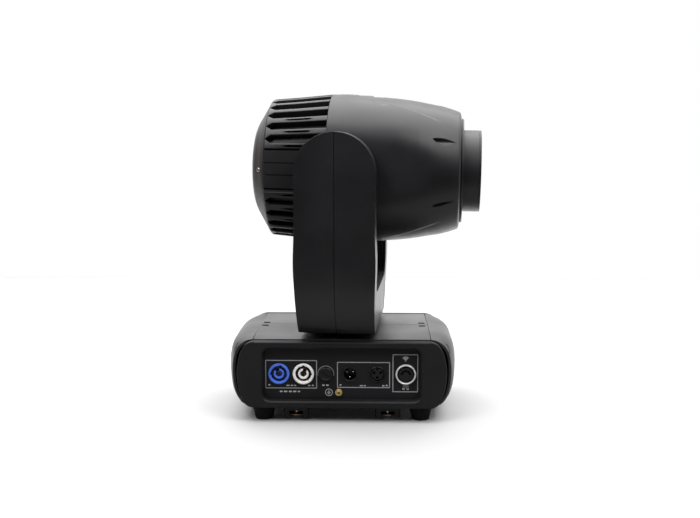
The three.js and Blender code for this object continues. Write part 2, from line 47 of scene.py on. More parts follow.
# ------------------------------------------------------------------ node helpers
def _n(nt, kind, **kw):
    n = nt.nodes.new(kind)
    for k, v in kw.items():
        setattr(n, k, v)
    return n


def moulded(name, base, rough=0.5, grain=900.0, bump=0.12, spread=0.25, warm=None, metallic=0.0, coat=0.0, spec=0.5, wear=0.0):
    """Moulded or coated surface: fine grain in the bump, slow variation in colour and gloss, edge wear where asked."""
    m = bpy.data.materials.new(name)
    m.use_nodes = True
    nt = m.node_tree
    b = nt.nodes["Principled BSDF"]
    b.inputs["Metallic"].default_value = metallic
    b.inputs["Coat Weight"].default_value = coat
    b.inputs["Specular IOR Level"].default_value = spec
    tc = _n(nt, "ShaderNodeTexCoord")
    slow = _n(nt, "ShaderNodeTexNoise")
    slow.inputs["Scale"].default_value = 14.0
    slow.inputs["Detail"].default_value = 5.0
    nt.links.new(tc.outputs["Object"], slow.inputs["Vector"])
    cr = _n(nt, "ShaderNodeValToRGB")
    c0 = [max(0.0, c * (1 - spread)) for c in base]
    c1 = [min(1.0, c * (1 + spread)) for c in (warm or base)]
    cr.color_ramp.elements[0].position = 0.3
    cr.color_ramp.elements[0].color = (*c0, 1)
    cr.color_ramp.elements[1].position = 0.7
    cr.color_ramp.elements[1].color = (*c1, 1)
    nt.links.new(slow.outputs["Fac"], cr.inputs["Fac"])
    col = cr.outputs["Color"]
    fine = _n(nt, "ShaderNodeTexNoise")
    fine.inputs["Scale"].default_value = grain
    fine.inputs["Detail"].default_value = 3.0
    fine.inputs["Roughness"].default_value = 0.6
    nt.links.new(tc.outputs["Object"], fine.inputs["Vector"])
    speck = _n(nt, "ShaderNodeMapRange")
    speck.inputs["From Min"].default_value = 0.35
    speck.inputs["From Max"].default_value = 0.65
    speck.inputs["To Min"].default_value = 0.82
    speck.inputs["To Max"].default_value = 1.18
    nt.links.new(fine.outputs["Fac"], speck.inputs["Value"])
    mul = _n(nt, "ShaderNodeMix", data_type="RGBA", blend_type="MULTIPLY")
    mul.inputs["Factor"].default_value = 1.0
    nt.links.new(col, mul.inputs["A"])
    nt.links.new(speck.outputs["Result"], mul.inputs["B"])
    col = mul.outputs["Result"]
    if wear > 0:
        geo = _n(nt, "ShaderNodeNewGeometry")
        wr = _n(nt, "ShaderNodeMapRange")
        wr.inputs["From Min"].default_value = 0.53
        wr.inputs["From Max"].default_value = 0.62
        wr.inputs["To Max"].default_value = wear
        nt.links.new(geo.outputs["Pointiness"], wr.inputs["Value"])
        wm = _n(nt, "ShaderNodeMix", data_type="RGBA")
        wm.inputs["B"].default_value = (*[min(1.0, c * 3 + 0.03) for c in base], 1)
        nt.links.new(wr.outputs["Result"], wm.inputs["Factor"])
        nt.links.new(col, wm.inputs["A"])
        col = wm.outputs["Result"]
    nt.links.new(col, b.inputs["Base Color"])
    rr = _n(nt, "ShaderNodeMapRange")
    rr.inputs["From Min"].default_value = 0.3
    rr.inputs["From Max"].default_value = 0.7
    rr.inputs["To Min"].default_value = max(0.03, rough - 0.06)
    rr.inputs["To Max"].default_value = min(1.0, rough + 0.06)
    nt.links.new(slow.outputs["Fac"], rr.inputs["Value"])
    nt.links.new(rr.outputs["Result"], b.inputs["Roughness"])
    bp = _n(nt, "ShaderNodeBump")
    bp.inputs["Strength"].default_value = bump
    bp.inputs["Distance"].default_value = 0.0004
    nt.links.new(fine.outputs["Fac"], bp.inputs["Height"])
    nt.links.new(bp.outputs["Normal"], b.inputs["Normal"])
    return m


def brushed(name, base, rough=0.3, stretch=(1, 1, 40), metallic=1.0, scale=120.0):
    """Machined or rolled metal with fine lines along one direction."""
    m = bpy.data.materials.new(name)
    m.use_nodes = True
    nt = m.node_tree
    b = nt.nodes["Principled BSDF"]
    b.inputs["Metallic"].default_value = metallic
    tc = _n(nt, "ShaderNodeTexCoord")
    mp = _n(nt, "ShaderNodeMapping")
    mp.inputs["Scale"].default_value = stretch
    nt.links.new(tc.outputs["Object"], mp.inputs["Vector"])
    no = _n(nt, "ShaderNodeTexNoise")
    no.inputs["Scale"].default_value = scale
    no.inputs["Detail"].default_value = 4.0
    nt.links.new(mp.outputs["Vector"], no.inputs["Vector"])
    cr = _n(nt, "ShaderNodeValToRGB")
    cr.color_ramp.elements[0].position = 0.3
    cr.color_ramp.elements[0].color = (*[c * 0.8 for c in base], 1)
    cr.color_ramp.elements[1].position = 0.7
    cr.color_ramp.elements[1].color = (*base, 1)
    nt.links.new(no.outputs["Fac"], cr.inputs["Fac"])
    nt.links.new(cr.outputs["Color"], b.inputs["Base Color"])
    rr = _n(nt, "ShaderNodeMapRange")
    rr.inputs["To Min"].default_value = max(0.02, rough - 0.08)
    rr.inputs["To Max"].default_value = rough + 0.1
    nt.links.new(no.outputs["Fac"], rr.inputs["Value"])
    nt.links.new(rr.outputs["Result"], b.inputs["Roughness"])
    bp = _n(nt, "ShaderNodeBump")
    bp.inputs["Strength"].default_value = 0.08
    bp.inputs["Distance"].default_value = 0.0002
    nt.links.new(no.outputs["Fac"], bp.inputs["Height"])
    nt.links.new(bp.outputs["Normal"], b.inputs["Normal"])
    return m


def glassy(name, tint=(0.9, 0.95, 0.97), rough=0.03):
    m = bpy.data.materials.new(name)
    m.use_nodes = True
    nt = m.node_tree
    b = nt.nodes["Principled BSDF"]
    b.inputs["Transmission Weight"].default_value = 0.9
    b.inputs["IOR"].default_value = 1.5
    b.inputs["Coat Weight"].default_value = 0.6
    b.inputs["Coat Roughness"].default_value = 0.04
    tc = _n(nt, "ShaderNodeTexCoord")
    no = _n(nt, "ShaderNodeTexNoise")
    no.inputs["Scale"].default_value = 30.0
    nt.links.new(tc.outputs["Object"], no.inputs["Vector"])
    cr = _n(nt, "ShaderNodeValToRGB")
    cr.color_ramp.elements[0].color = (*[c * 0.96 for c in tint], 1)
    cr.color_ramp.elements[1].color = (*tint, 1)
    nt.links.new(no.outputs["Fac"], cr.inputs["Fac"])
    nt.links.new(cr.outputs["Color"], b.inputs["Base Color"])
    rr = _n(nt, "ShaderNodeMapRange")
    rr.inputs["To Min"].default_value = rough
    rr.inputs["To Max"].default_value = rough + 0.03
    nt.links.new(no.outputs["Fac"], rr.inputs["Value"])
    nt.links.new(rr.outputs["Result"], b.inputs["Roughness"])
    return m


ABS = moulded("abs_black", (0.0095, 0.0095, 0.0110), rough=0.43, bump=0.10, wear=0.06, spec=0.42)
ABS_CAP = moulded("abs_cap", (0.0110, 0.0092, 0.0082), rough=0.47, bump=0.14, wear=0.05, spec=0.35)
ABS_FRAME = moulded("abs_frame", (0.0080, 0.0080, 0.0088), rough=0.5, grain=1100, bump=0.14, wear=0.06, spec=0.25)
PANEL = moulded("panel_coat", (0.0070, 0.0070, 0.0082), rough=0.55, grain=1500, bump=0.22, spec=0.25)
# near-black, darker than the shells: the lens-tube ribs, and painted shade on the plates under the vent slots
NEAR_BLACK_AND_SHADE = moulded("near_black_and_painted_shade", (0.003, 0.003, 0.0033), rough=0.7, spec=0.15)
PLASTIC = moulded("black_plastic", (0.0055, 0.0055, 0.006), rough=0.38, bump=0.05, spec=0.3)
RUBBER = moulded("rubber", (0.0060, 0.0060, 0.0065), rough=0.72, grain=1300, bump=0.3, spread=0.35, spec=0.2)
BLUE = moulded("blue_plastic", (0.065, 0.17, 0.72), rough=0.38, grain=700, bump=0.04, spread=0.1)
WHITE = moulded("white_plastic", (0.90, 0.885, 0.86), rough=0.38, grain=700, bump=0.03, spread=0.04)
SILK = moulded("silk_screen", (0.30, 0.30, 0.31), rough=0.6, grain=2500, bump=0.1, spread=0.15)
CHROME = brushed("nickel_plate", (0.90, 0.89, 0.87), rough=0.42, stretch=(1, 1, 1), scale=60, metallic=0.45)
STEEL = brushed("zinc_steel", (0.55, 0.55, 0.57), rough=0.34)
ALU = brushed("machined_alu", (0.62, 0.63, 0.65), rough=0.32)
PIN = brushed("pin_silver", (0.85, 0.84, 0.8), rough=0.2)
BRASS = brushed("brass_plate", (0.80, 0.58, 0.24), rough=0.4, stretch=(1, 1, 1), scale=200)
COPPER = brushed("copper_dish", (0.66, 0.42, 0.30), rough=0.3, stretch=(1, 1, 1), scale=200)
DARKSTEEL = brushed("black_steel", (0.10, 0.10, 0.105), rough=0.4)
LENS = glassy("lens_glass")
SCREEN = moulded("display_screen", (0.004, 0.006, 0.010), rough=0.12, grain=400, bump=0.0, spread=0.1, coat=0.5)
PCB = moulded("solder_mask", (0.012, 0.07, 0.025), rough=0.35, grain=300, bump=0.2)

# ------------------------------------------------------------------ mesh helpers (millimetres, in each body's own frame)
def curve_round(pts, r, n=4, closed=True):
    """Rounds the corners of a polyline. A point may carry its own radius as a third value."""
    out = []
    m = len(pts)
    for i, p in enumerate(pts):
        rr = p[2] if len(p) > 2 else r
        a, b = pts[(i - 1) % m], pts[(i + 1) % m]
        if (not closed and i in (0, m - 1)) or rr <= 0:
            out.append((p[0], p[1]))
            continue
        P, A, B = Vector(p[:2]), Vector(a[:2]), Vector(b[:2])
        la, lb = (A - P).length, (B - P).length
        if la < 1e-6 or lb < 1e-6:
            continue
        da, db = (A - P) / la, (B - P) / lb
        ang = da.angle(db)
        if ang > radians(176):
            out.append((p[0], p[1]))
            continue
        t = min(rr / math.tan(ang / 2) if ang > 1e-3 else rr, 0.46 * la, 0.46 * lb)
        s, e = P + da * t, P + db * t
        for k in range(n + 1):
            u = k / n
            q = s * (1 - u) ** 2 + P * (2 * u * (1 - u)) + e * u * u
            out.append((q.x, q.y))
    return out


def round_rect(x0, x1, y0, y1, r, n=6):
    p = []
    for cx, cy, a0 in ((x1 - r, y0 + r, -90), (x1 - r, y1 - r, 0), (x0 + r, y1 - r, 90), (x0 + r, y0 + r, 180)):
        for i in range(n + 1):
            a = radians(a0 + 90 * i / n)
            p.append((cx + r * cos(a), cy + r * sin(a)))
    return p


def dense(pts, step):
    """Catmull-Rom through the points, about one point every step mm."""
    P = [np.array(p[:2], float) for p in pts]
    out = []
    for i in range(len(P) - 1):
        p0 = P[i - 1] if i else 2 * P[0] - P[1]
        p1, p2 = P[i], P[i + 1]
        p3 = P[i + 2] if i + 2 < len(P) else 2 * P[-1] - P[-2]
        n = max(1, int(round(np.linalg.norm(p2 - p1) / step)))
        for k in range(n):
            t = k / n
            out.append(tuple(0.5 * ((2 * p1) + (p2 - p0) * t + (2 * p0 - 5 * p1 + 4 * p2 - p3) * t * t + (3 * p1 - p0 - 3 * p2 + p3) * t ** 3)))
    out.append(tuple(P[-1]))
    return out


def link(name, me):
    o = bpy.data.objects.new(name, me)
    bpy.context.scene.collection.objects.link(o)
    return o


def raw(name, verts, faces):
    me = bpy.data.meshes.new(name)
    me.from_pydata([tuple(v) for v in verts], [], [tuple(f) for f in faces])
    me.validate()
    bm = bmesh.new()
    bm.from_mesh(me)
    bmesh.ops.remove_doubles(bm, verts=bm.verts, dist=1e-4)
    bmesh.ops.recalc_face_normals(bm, faces=bm.faces)
    bm.to_mesh(me)
    bm.free()
    return link(name, me)


AX = {
    "z": lambda r, a, h: (r * cos(a), r * sin(a), h),
    "x": lambda r, a, h: (h, -r * sin(a), r * cos(a)),   # angle from +z towards -y
    "y": lambda r, a, h: (r * cos(a), h, r * sin(a)),
    "-y": lambda r, a, h: (r * cos(a), -h, r * sin(a)),
}


def revolve(name, prof, n=64, axis="z", rfun=None, at=(0, 0, 0)):
    """Turns a profile of (radius, height) about an axis; it starts and ends on the axis, or closes on itself."""
    closed = abs(prof[0][0] - prof[-1][0]) < 1e-6 and abs(prof[0][1] - prof[-1][1]) < 1e-6 and prof[0][0] > 1e-6
    pts = prof[:-1] if closed else prof
    vs, rings = [], []
    for r, h in pts:
        if r < 1e-6:
            rings.append([len(vs)])
            vs.append(AX[axis](0, 0, h))
        else:
            ids = []
            for i in range(n):
                a = 2 * pi * i / n
                rr = rfun(r, a, h) if rfun else r
                ids.append(len(vs))
                vs.append(AX[axis](rr, a, h))
            rings.append(ids)
    fs = []
    pairs = list(zip(rings, rings[1:])) + ([(rings[-1], rings[0])] if closed else [])
    for A, B in pairs:
        if len(A) == 1 and len(B) == 1:
            continue
        for i in range(n):
            j = (i + 1) % n
            if len(A) == 1:
                fs.append((A[0], B[i], B[j]))
            elif len(B) == 1:
                fs.append((A[i], A[j], B[0]))
            else:
                fs.append((A[i], A[j], B[j], B[i]))
    vs = [(v[0] + at[0], v[1] + at[1], v[2] + at[2]) for v in vs]
    return raw(name, vs, fs)


PLANE = {
    "z": lambda u, v, h: (u, v, h),
    "y": lambda u, v, h: (u, h, v),
    "x": lambda u, v, h: (h, u, v),
}


def inset_loop(pts, d):
    P = [Vector(p[:2]) for p in pts]
    n = len(P)
    area = sum(P[i].x * P[(i + 1) % n].y - P[(i + 1) % n].x * P[i].y for i in range(n))
    s = 1 if area > 0 else -1
    out = []
    for i in range(n):
        e1, e2 = P[i] - P[i - 1], P[(i + 1) % n] - P[i]
        if e1.length < 1e-9 or e2.length < 1e-9:
            out.append(tuple(P[i]))
            continue
        n1 = Vector((-e1.y, e1.x)).normalized() * s
        n2 = Vector((-e2.y, e2.x)).normalized() * s
        m = n1 + n2
        m = n1 if m.length < 1e-6 else m.normalized()
        k = d / max(0.35, m.dot(n1))
        out.append(tuple(P[i] + m * k))
    return out


def prism(name, outline, h0, h1, axis="z", bevel=0.0, n=3, ends=(True, True)):
    """Extrudes an outline from h0 to h1 with rounded edges at its ends."""
    layers = []
    if bevel > 0 and ends[0]:
        layers = [(h0 + bevel * (1 - cos(radians(90 * k / n))), bevel * (1 - sin(radians(90 * k / n)))) for k in range(n + 1)]
    else:
        layers.append((h0, 0))
    if bevel > 0 and ends[1]:
        layers += [(h1 - bevel * (1 - sin(radians(90 * k / n))), bevel * (1 - cos(radians(90 * k / n)))) for k in range(n + 1)]
    else:
        layers.append((h1, 0))
    m = len(outline)
    vs, fs = [], []
    for h, d in layers:
        loop = inset_loop(outline, d) if d > 1e-9 else outline
        vs += [PLANE[axis](u[0], u[1], h) for u in loop]
    for L in range(len(layers) - 1):
        for i in range(m):
            j = (i + 1) % m
            fs.append((L * m + i, L * m + j, (L + 1) * m + j, (L + 1) * m + i))
    fs.append(tuple(range(m))[::-1])
    fs.append(tuple((len(layers) - 1) * m + i for i in range(m)))
    return raw(name, vs, fs)


def block(name, x0, x1, y0, y1, z0, z1, bevel=0.0, seg=2):
    o = raw(name, [(x, y, z) for x in (x0, x1) for y in (y0, y1) for z in (z0, z1)],
            [(0, 1, 3, 2), (4, 6, 7, 5), (0, 4, 5, 1), (2, 3, 7, 6), (0, 2, 6, 4), (1, 5, 7, 3)])
    if bevel > 0:
        soften(o, bevel, seg, 30)
    return o


def soften(o, width, seg=2, angle=30):
    bm = bmesh.new()
    bm.from_mesh(o.data)
    es = [e for e in bm.edges if len(e.link_faces) == 2 and e.calc_face_angle(0) > radians(angle)]
    bmesh.ops.bevel(bm, geom=es, offset=width, segments=seg, profile=0.5, affect="EDGES", clamp_overlap=True)
    bm.to_mesh(o.data)
    bm.free()
    return o


def turn(o, M):
    o.data.transform(M)
    return o


def apply_mods(o):
    dg = bpy.context.evaluated_depsgraph_get()
    dg.update()
    me = bpy.data.meshes.new_from_object(o.evaluated_get(dg), preserve_all_data_layers=True, depsgraph=dg)
    old = o.data
    o.modifiers.clear()
    o.data = me
    bpy.data.meshes.remove(old)
    return o


def drop(o):
    me = o.data
    bpy.data.objects.remove(o)
    bpy.data.meshes.remove(me)


def boo(o, cutter, op="DIFFERENCE", keep=False, solver="MANIFOLD"):
    before = len(o.data.polygons)
    m = o.modifiers.new("b", "BOOLEAN")
    m.operation = op
    m.solver = solver
    m.object = cutter
    apply_mods(o)
    if len(o.data.polygons) == 0 and before:
        print("boolean emptied", o.name)
    if not keep:
        drop(cutter)
    return o


def merge(name, objs):
    """Joins separate closed solids into one object."""
    bm = bmesh.new()
    for o in objs:
        bm.from_mesh(o.data)
    me = bpy.data.meshes.new(name)
    bm.to_mesh(me)
    bm.free()
    for o in objs:
        drop(o)
    return link(name, me)


def place(o, M, mat, body, rep=(), angle=32, weighted=True):
    o.data.transform(M)
    o.data.polygons.foreach_set("use_smooth", [True] * len(o.data.polygons))
    o.data.set_sharp_from_angle(angle=radians(angle))
    if weighted:
        w = o.modifiers.new("wn", "WEIGHTED_NORMAL")
        w.keep_sharp = True
        w.weight = 60
        apply_mods(o)
    mats = mat if isinstance(mat, (list, tuple)) else [mat]
    o.data.materials.clear()
    for k in mats:
        o.data.materials.append(k)
    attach(o, body)
    if rep:
        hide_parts(*rep)
    return o


def lerp_table(t, x):
    """Linear look-up in a list of (x, value)."""
    if x <= t[0][0]:
        return t[0][1]
    for (a, va), (b, vb) in zip(t, t[1:]):
        if x <= b:
            return va + (vb - va) * (x - a) / max(1e-9, b - a)
    return t[-1][1]


def sstep(a, b, x):
    t = min(1.0, max(0.0, (x - a) / (b - a)))
    return t * t * (3 - 2 * t)


# ------------------------------------------------------------------ camera
cam_data = bpy.data.cameras.new("photo_camera")
cam_data.lens = 51.43
cam_data.sensor_width = 36
cam = bpy.data.objects.new("photo_camera", cam_data)
bpy.context.scene.collection.objects.link(cam)
cam.location = (0.0405, -1.2765, 0.3460)
cam.rotation_euler = (pi / 2 - 0.1358, 0, 0.0255)
bpy.context.scene.camera = cam

# ------------------------------------------------------------------ head
FLAT = 82.5
CAPJ = -89.4        # joint between the rear cap and the finned housing
HEADJ = -14.0
CAP_PTS = [(0, -112.1), (8, -112.05), (15, -111.85), (22, -111.55), (30, -111.0), (37, -110.3), (43, -109.6), (49, -108.4), (54, -106.7), (59.5, -104.0), (64, -101.2), (68.5, -98.4), (75, -94.6), (80.5, -91.2), (83.3, -89.4)]
SIDE_T = [(-89.4, 84.2), (-88.0, 85.6), (-87.0, 86.1), (-55.6, 88.8), (-14.0, 93.1)]
FRONT_T = [(-14.0, 93.2), (2, 93.0), (12, 92.7), (22, 92.3), (32, 92.0), (43.5, 91.6), (58, 90.8), (72, 89.6), (84.3, 88.1), (97, 86.1), (109.5, 83.5), (122, 80.5), (134.7, 76.9), (143.8, 73.7), (145.4, 72.8), (146.4, 71.2), (147.1, 68.3), (147.4, 65.9)]


def flat_r(R, a, half=FLAT, p=34):
    s = abs(sin(a))
    if s < 1e-6:
        return R
    L = half / s
    if L > 1.6 * R:
        return R
    return (R ** -p + L ** -p) ** (-1 / p)


def grid_solid(name, rows_out, rows_in, M=None):
    """Closed ring solid from outer rows and inner rows; every row is a closed loop with the same number of points."""
    rows = rows_out + rows_in[::-1]
    n = len(rows[0])
    vs = [v for r in rows for v in r]
    fs = []
    m = len(rows)
    for a in range(m):
        b = (a + 1) % m
        for i in range(n):
            j = (i + 1) % n
            fs.append((a * n + i, a * n + j, b * n + j, b * n + i))
    return raw(name, vs, fs)


def hp(r, a, x):
    return (x, -r * sin(a), r * cos(a))


# ----- finned rear housing
PITCH = 11.65
DEPTH = 9.5


BAR_H = {0: 1.75, 1: 1.75, 2: 1.8, 3: 2.0, 4: 2.55, 5: 2.55, 6: 2.3}     # half the angle of each bar


def taper(x):
    """Share of its full width that a slot has at x: it closes in a point at the rear."""
    return min(1.0, max(0.0, (x + 88.2) / 7.4)) if x > -88.2 else 0.0


def slot_depth(x):
    return DEPTH * min(1.0, max(0.0, (x + 88.2) / 2.2)) ** 0.6 if x > -88.2 else 0.0


def slit(x):
    """Half width and depth of the slit along a bar."""
    w = min(sstep(-70, -58, x), 1 - sstep(-36.5, -31, x))
    return 0.92 * w, 6.5 * min(1.0, w * 2.5)


def rear_columns():
    """(angle, depth) of every column at one station x, from -180 to 180 degrees."""
    def row(x):
        tp, D = taper(x), slot_depth(x)
        sw, sd = slit(x)
        k0 = min(1.0, tp * 5)
        col = []

        def half_bar(k):
            return PITCH / 2 - (PITCH / 2 - BAR_H[abs(k)]) * tp

        def group(base):
            for k in range(-6, 7):
                c = base + PITCH * k
                hb = half_bar(k)
                ww, gg = (max(sw, 0.02), sd) if abs(k) >= 4 else (0.02, 0.0)
                crown = 0.42 if abs(k) < 4 else 0.5
                inner = [(-0.98 if abs(k) >= 4 else -0.7, 0.03), (-ww, 0.0), (-ww * 0.93, gg), (0, gg), (ww * 0.93, gg), (ww, 0.0), (0.98 if abs(k) >= 4 else 0.7, 0.03)]
                L = [(-hb - 0.14 * k0, D), (-hb, 1.15 * k0), (-hb + 0.07, 0.72 * k0), (-hb + 0.2, 0.42 * k0), (-hb + 0.42, crown * 0.5 * k0), (-hb + 0.72, 0.1 * k0)]
                R = [(-a, d) for a, d in L[::-1]]
                if k > -6:
                    col.extend((c + a, d) for a, d in L)
                else:
                    col.extend((c + a, d) for a, d in ((-2.3, 0.5), (-2.15, 0.25), (-1.95, 0.1), (-1.7, 0.02), (-1.4, 0), (-1.15, 0)))
                col.extend((c + a, d) for a, d in inner)
                if k < 6:
                    col.extend((c + a, d) for a, d in R)
                    hs = (PITCH - hb - half_bar(k + 1)) / 2
                    s = c + hb + hs
                    col.extend([(s - 0.5 * hs, D), (s, D), (s + 0.5 * hs, D)])
                else:
                    col.extend((c + a, d) for a, d in ((1.15, 0), (1.4, 0), (1.7, 0.02), (1.95, 0.1), (2.15, 0.25), (2.3, 0.5)))

        def flat(sign):
            # the flat side, by height: grooves at the panel lines
            zs = []
            for zc, w, d in ((25.6, 0.75, 3.6), (9.2, 0.42, 1.1), (-5.4, 0.42, 1.1), (-22.6, 0.95, 3.6)):
                zs += [(zc + w + 0.35, 0), (zc + w, d), (zc, d), (zc - w, d), (zc - w - 0.35, 0)]
            for z in (22.5, 18, 13.5, 5.5, 1.9, -1.8, -9.5, -14, -18):
                zs.append((z, 0))
            zs.sort(key=lambda q: -q[0])
            fade = 1.0 if x > -86.5 else max(0.0, (x + 88.5) / 2)
            seq = [(degrees(atan2(FLAT, z)), d * fade) for z, d in zs]
            if sign < 0:
                seq = [(360 - a, d) for a, d in seq[::-1]]
            col.extend(seq)

        group(0)
        flat(1)
        group(180)
        flat(-1)
        return col
    return row


xs = [-89.25, -88.9, -88.5, -88.2, -88.0, -87.6, -87.1, -86.5, -85.8, -85, -84, -83, -82, -81.2, -80.8, -80, -77, -74, -70, -66, -64, -63.5, -62.5, -61.5, -60, -56, -52, -48, -44, -40, -37, -34.5, -33.5, -32.5, -30, -27, -24, -21, -18, -16, -14.9, HEADJ - 0.1]
rc = rear_columns()
outer_rows, inner_rows = [], []
for x in xs:
    R = lerp_table(SIDE_T, x)
    lip = 0.0
    if x == xs[0]:
        lip = 0.35
    row = []
    for a, d in rc(x):
        th = radians(a)
        row.append(hp(flat_r(R, th) - d - lip, th, x))
    outer_rows.append(row)
for x in (xs[0], -70, -40, xs[-1]):
    R = lerp_table(SIDE_T, x) - 12.3
    inner_rows.append([hp(flat_r(R, radians(a), 79.6), radians(a), x) for a, d in rc(x)])
o = grid_solid("rear_housing", outer_rows, inner_rows)
place(o, M_HEAD, ABS, "head", ["head_rear_housing"], angle=30, weighted=False)

# ----- front shell
CREASE = [(40, 19.0), (47.5, 21.4), (62.7, 25.2), (75.2, 28.8), (99.9, 35.7), (112, 38.8), (124, 42.2), (136, 45.5)]
HOOK = [(36.0, 8.0), (36.4, 12.0), (37.0, 14.9), (38.0, 19.5), (39.8, 23.3), (42.2, 26.0), (45.2, 27.8), (49, 28.4), (53.8, 28.1)]


def crease_drop(x, deg):
    """Depth of the shallow styling band along the top and the bottom of the shell; deg is measured from the top or bottom line."""
    if x < 33 or x > 140:
        return 0.0
    c = lerp_table(CREASE, x)
    side = (c - deg) * radians(1) * 88            # mm inside the crease line
    d = 1.2 * sstep(-0.2, 1.5, side) * sstep(41, 56, x) * (1 - sstep(104, 128, x))
    # the rear end of the band, a rounded hook
    if deg < 28.6:
        hx = lerp_table([(p[1], p[0]) for p in HOOK[:8]], deg)
        d2 = 1.25 * sstep(-0.2, 1.2, x - hx) * (1 - sstep(46, 62, x)) * (1 - sstep(27.6, 28.6, deg))
        d = max(d, d2)
    return d


th_cols = []
t = 0.0
while t < 180.0 - 1e-6:
    th_cols.append(t)
    m = min(t, 180 - t)
    step = 3.0 if m < 6 else (0.85 if m < 49 else (1.6 if m < 60 else 2.0))
    if m > 60 and m < 82:
        step = 1.7
    t += step
th_cols = sorted(set(round(v, 4) for v in th_cols) | {180.0})
th_all = th_cols + [360 - v for v in th_cols[::-1] if 0 < v < 180]
fx = [HEADJ + 0.12, HEADJ + 0.5, -12, -8, -4, 0, 5, 10, 14, 16, 17.2, 18.2, 19.2, 20, 21, 22, 25, 28, 31]
x = 34.0
while x < 62:
    fx.append(x)
    x += 0.9
while x < 138:
    fx.append(x)
    x += 1.9
fx += [139.5, 141.5, 143.2, 144.4, 145.4, 146.1, 146.6, 147.0, 147.3, 147.6]
outer_rows = []
for x in fx:
    R = lerp_table(FRONT_T, min(x, 147.4))
    if x == fx[0]:
        R -= 0.4
    if x >= 147.6:
        R = 64.4
    row = []
    for a in th_all:
        th = radians(a)
        m = min(a, abs(180 - a), 360 - a)
        edge = 0.55 * sstep(-10, 4, x) * (1 - sstep(17.2, 19.6, x)) * (1 - sstep(10, 22, m))
        row.append(hp(flat_r(R, th) - crease_drop(x, m) + edge, th, x))
    outer_rows.append(row)
inner_rows = []
for x, R in ((fx[0], 83.9), (-10.4, 83.9), (-9.0, 89.0), (17, 89.0), (43.5, 86.8), (97, 81.2), (134.7, 71.4), (143.0, 62.0), (143.6, 51.6), (147.6, 51.6)):
    inner_rows.append([hp(flat_r(R, radians(a), 79.6), radians(a), x) for a in th_all])
shell = grid_solid("front_shell", outer_rows, inner_rows)


def pocket(upper, lower, dmax, flip):
    """Almond-shaped scoop: upper and lower are its edges as (x, angle from the top), deepest near the rear tip."""
    x0, x1 = upper[0][0], upper[-1][0]
    vs, fs, n = [], [], 11
    stations = [0, 0.02, 0.05, 0.09, 0.14, 0.2, 0.28, 0.37, 0.46, 0.55, 0.64, 0.73, 0.82, 0.9, 0.96, 1.0]
    for s in stations:
        x = x0 + (x1 - x0) * s
        au, al = lerp_table(upper, x), lerp_table(lower, x)
        d = dmax * min(1.0, s / 0.16) ** 0.75 * (1 - s) ** 0.85 + 0.02
        e = max(al - au, 0.03)
        mid = 0.5 * (au + al)
        au, al = mid - e / 2, mid + e / 2
        ring = []
        for k in range(n):
            t = k / (n - 1)
            q = t if not flip else 1 - t
            sh = (q / 0.3) ** 0.8 if q < 0.3 else ((1 - q) / 0.7) ** 1.15
            a = radians(au + (al - au) * t)
            R = flat_r(lerp_table(FRONT_T, x), a)
            ring.append(hp(R - d * sh + (0.0 if 0 < k < n - 1 else 0.02), a, x))
        for t in (1.0, 0.5, 0.0):
            a = radians(au + (al - au) * t)
            ring.append(hp(flat_r(lerp_table(FRONT_T, x), a) + 4.0, a, x))
        vs += ring
    w = n + 3
    for r in range(len(stations) - 1):
        for i in range(w):
            j = (i + 1) % w
            fs.append((r * w + i, r * w + j, (r + 1) * w + j, (r + 1) * w + i))
    fs.append(tuple(range(w))[::-1])
    fs.append(tuple((len(stations) - 1) * w + i for i in range(w)))
    return vs, fs


UP_U = dense([(112.7, 60.4), (116.8, 59.2), (126.3, 58.7), (134, 59.6), (141.5, 61.1)], 1.5)
UP_L = dense([(112.7, 60.5), (117.0, 63.2), (123.0, 64.3), (130, 64.0), (141.5, 61.2)], 1.5)
LO_U = dense([(113.5, 118.6), (121.2, 116.2), (130.7, 115.3), (141.5, 116.6)], 1.5)
LO_L = dense([(113.5, 118.7), (118.0, 120.4), (124.0, 120.4), (131.5, 118.9), (141.5, 116.7)], 1.5)
for up, lo, flip in ((UP_U, UP_L, False), (LO_U, LO_L, True)):
    vs, fs = pocket(up, lo, 5.2, flip)
    for sgn in (1, -1):
        boo(shell, raw("cut", [(v[0], v[1] * sgn, v[2]) for v in vs], fs))
boo(shell, revolve("cut", [(0, -100), (10.2, -100), (10.2, 100), (0, 100)], 40, "y"))
place(shell, M_HEAD, ABS, "head", ["head_front_shell"], angle=24, weighted=False)

# ----- rear cap
prof = CAP_PTS[:-1] + [(82.9, -89.95), (83.35, -89.55)]
prof = [(r, h) for r, h in prof]
inner = [(80.2, -89.55), (77, -91.5), (71, -94.0), (62, -98.6), (52, -103.8), (42, -106.6), (28, -108.4), (14, -109.3), (0, -109.6)]


dp = dense([(h, r) for r, h in prof], 2.2)
cap = revolve("rear_cap_shell", [(max(0.0, r), h) for h, r in dp[:-1]] + [(83.35, -89.55)] + inner, 144, "x", rfun=lambda r, a, h: flat_r(r, a, FLAT))
cuts = []
for r0, r1, n in ((13, 16.4, 4), (20, 23.4, 6), (27, 30.4, 8), (34, 37.4, 10)):
    for k in range(n):
        a0, a1 = 2 * pi * (k + 0.09) / n, 2 * pi * (k + 0.91) / n
        m = 12
        arc = [(r1 * cos(a0 + (a1 - a0) * i / m), r1 * sin(a0 + (a1 - a0) * i / m)) for i in range(m + 1)]
        arc += [(r0 * cos(a1 - (a1 - a0) * i / m), r0 * sin(a1 - (a1 - a0) * i / m)) for i in range(m + 1)]
        cuts.append(prism("cut", curve_round(arc, 1.2, 2), -120, -104, "x"))
boo(cap, merge("cut", cuts))
for sgn in (1, -1):
    recess = revolve("cut", [(0, -2.2), (3.1, -2.2), (3.3, 0), (3.9, 1.6), (3.9, 9), (0, 9)], 28, "z")
    boo(cap, turn(recess, Matrix.Translation((-96.8, -71.8 * sgn, 0)) @ Vector((-0.5, -0.866 * sgn, 0)).to_track_quat("Z", "Y").to_matrix().to_4x4()))
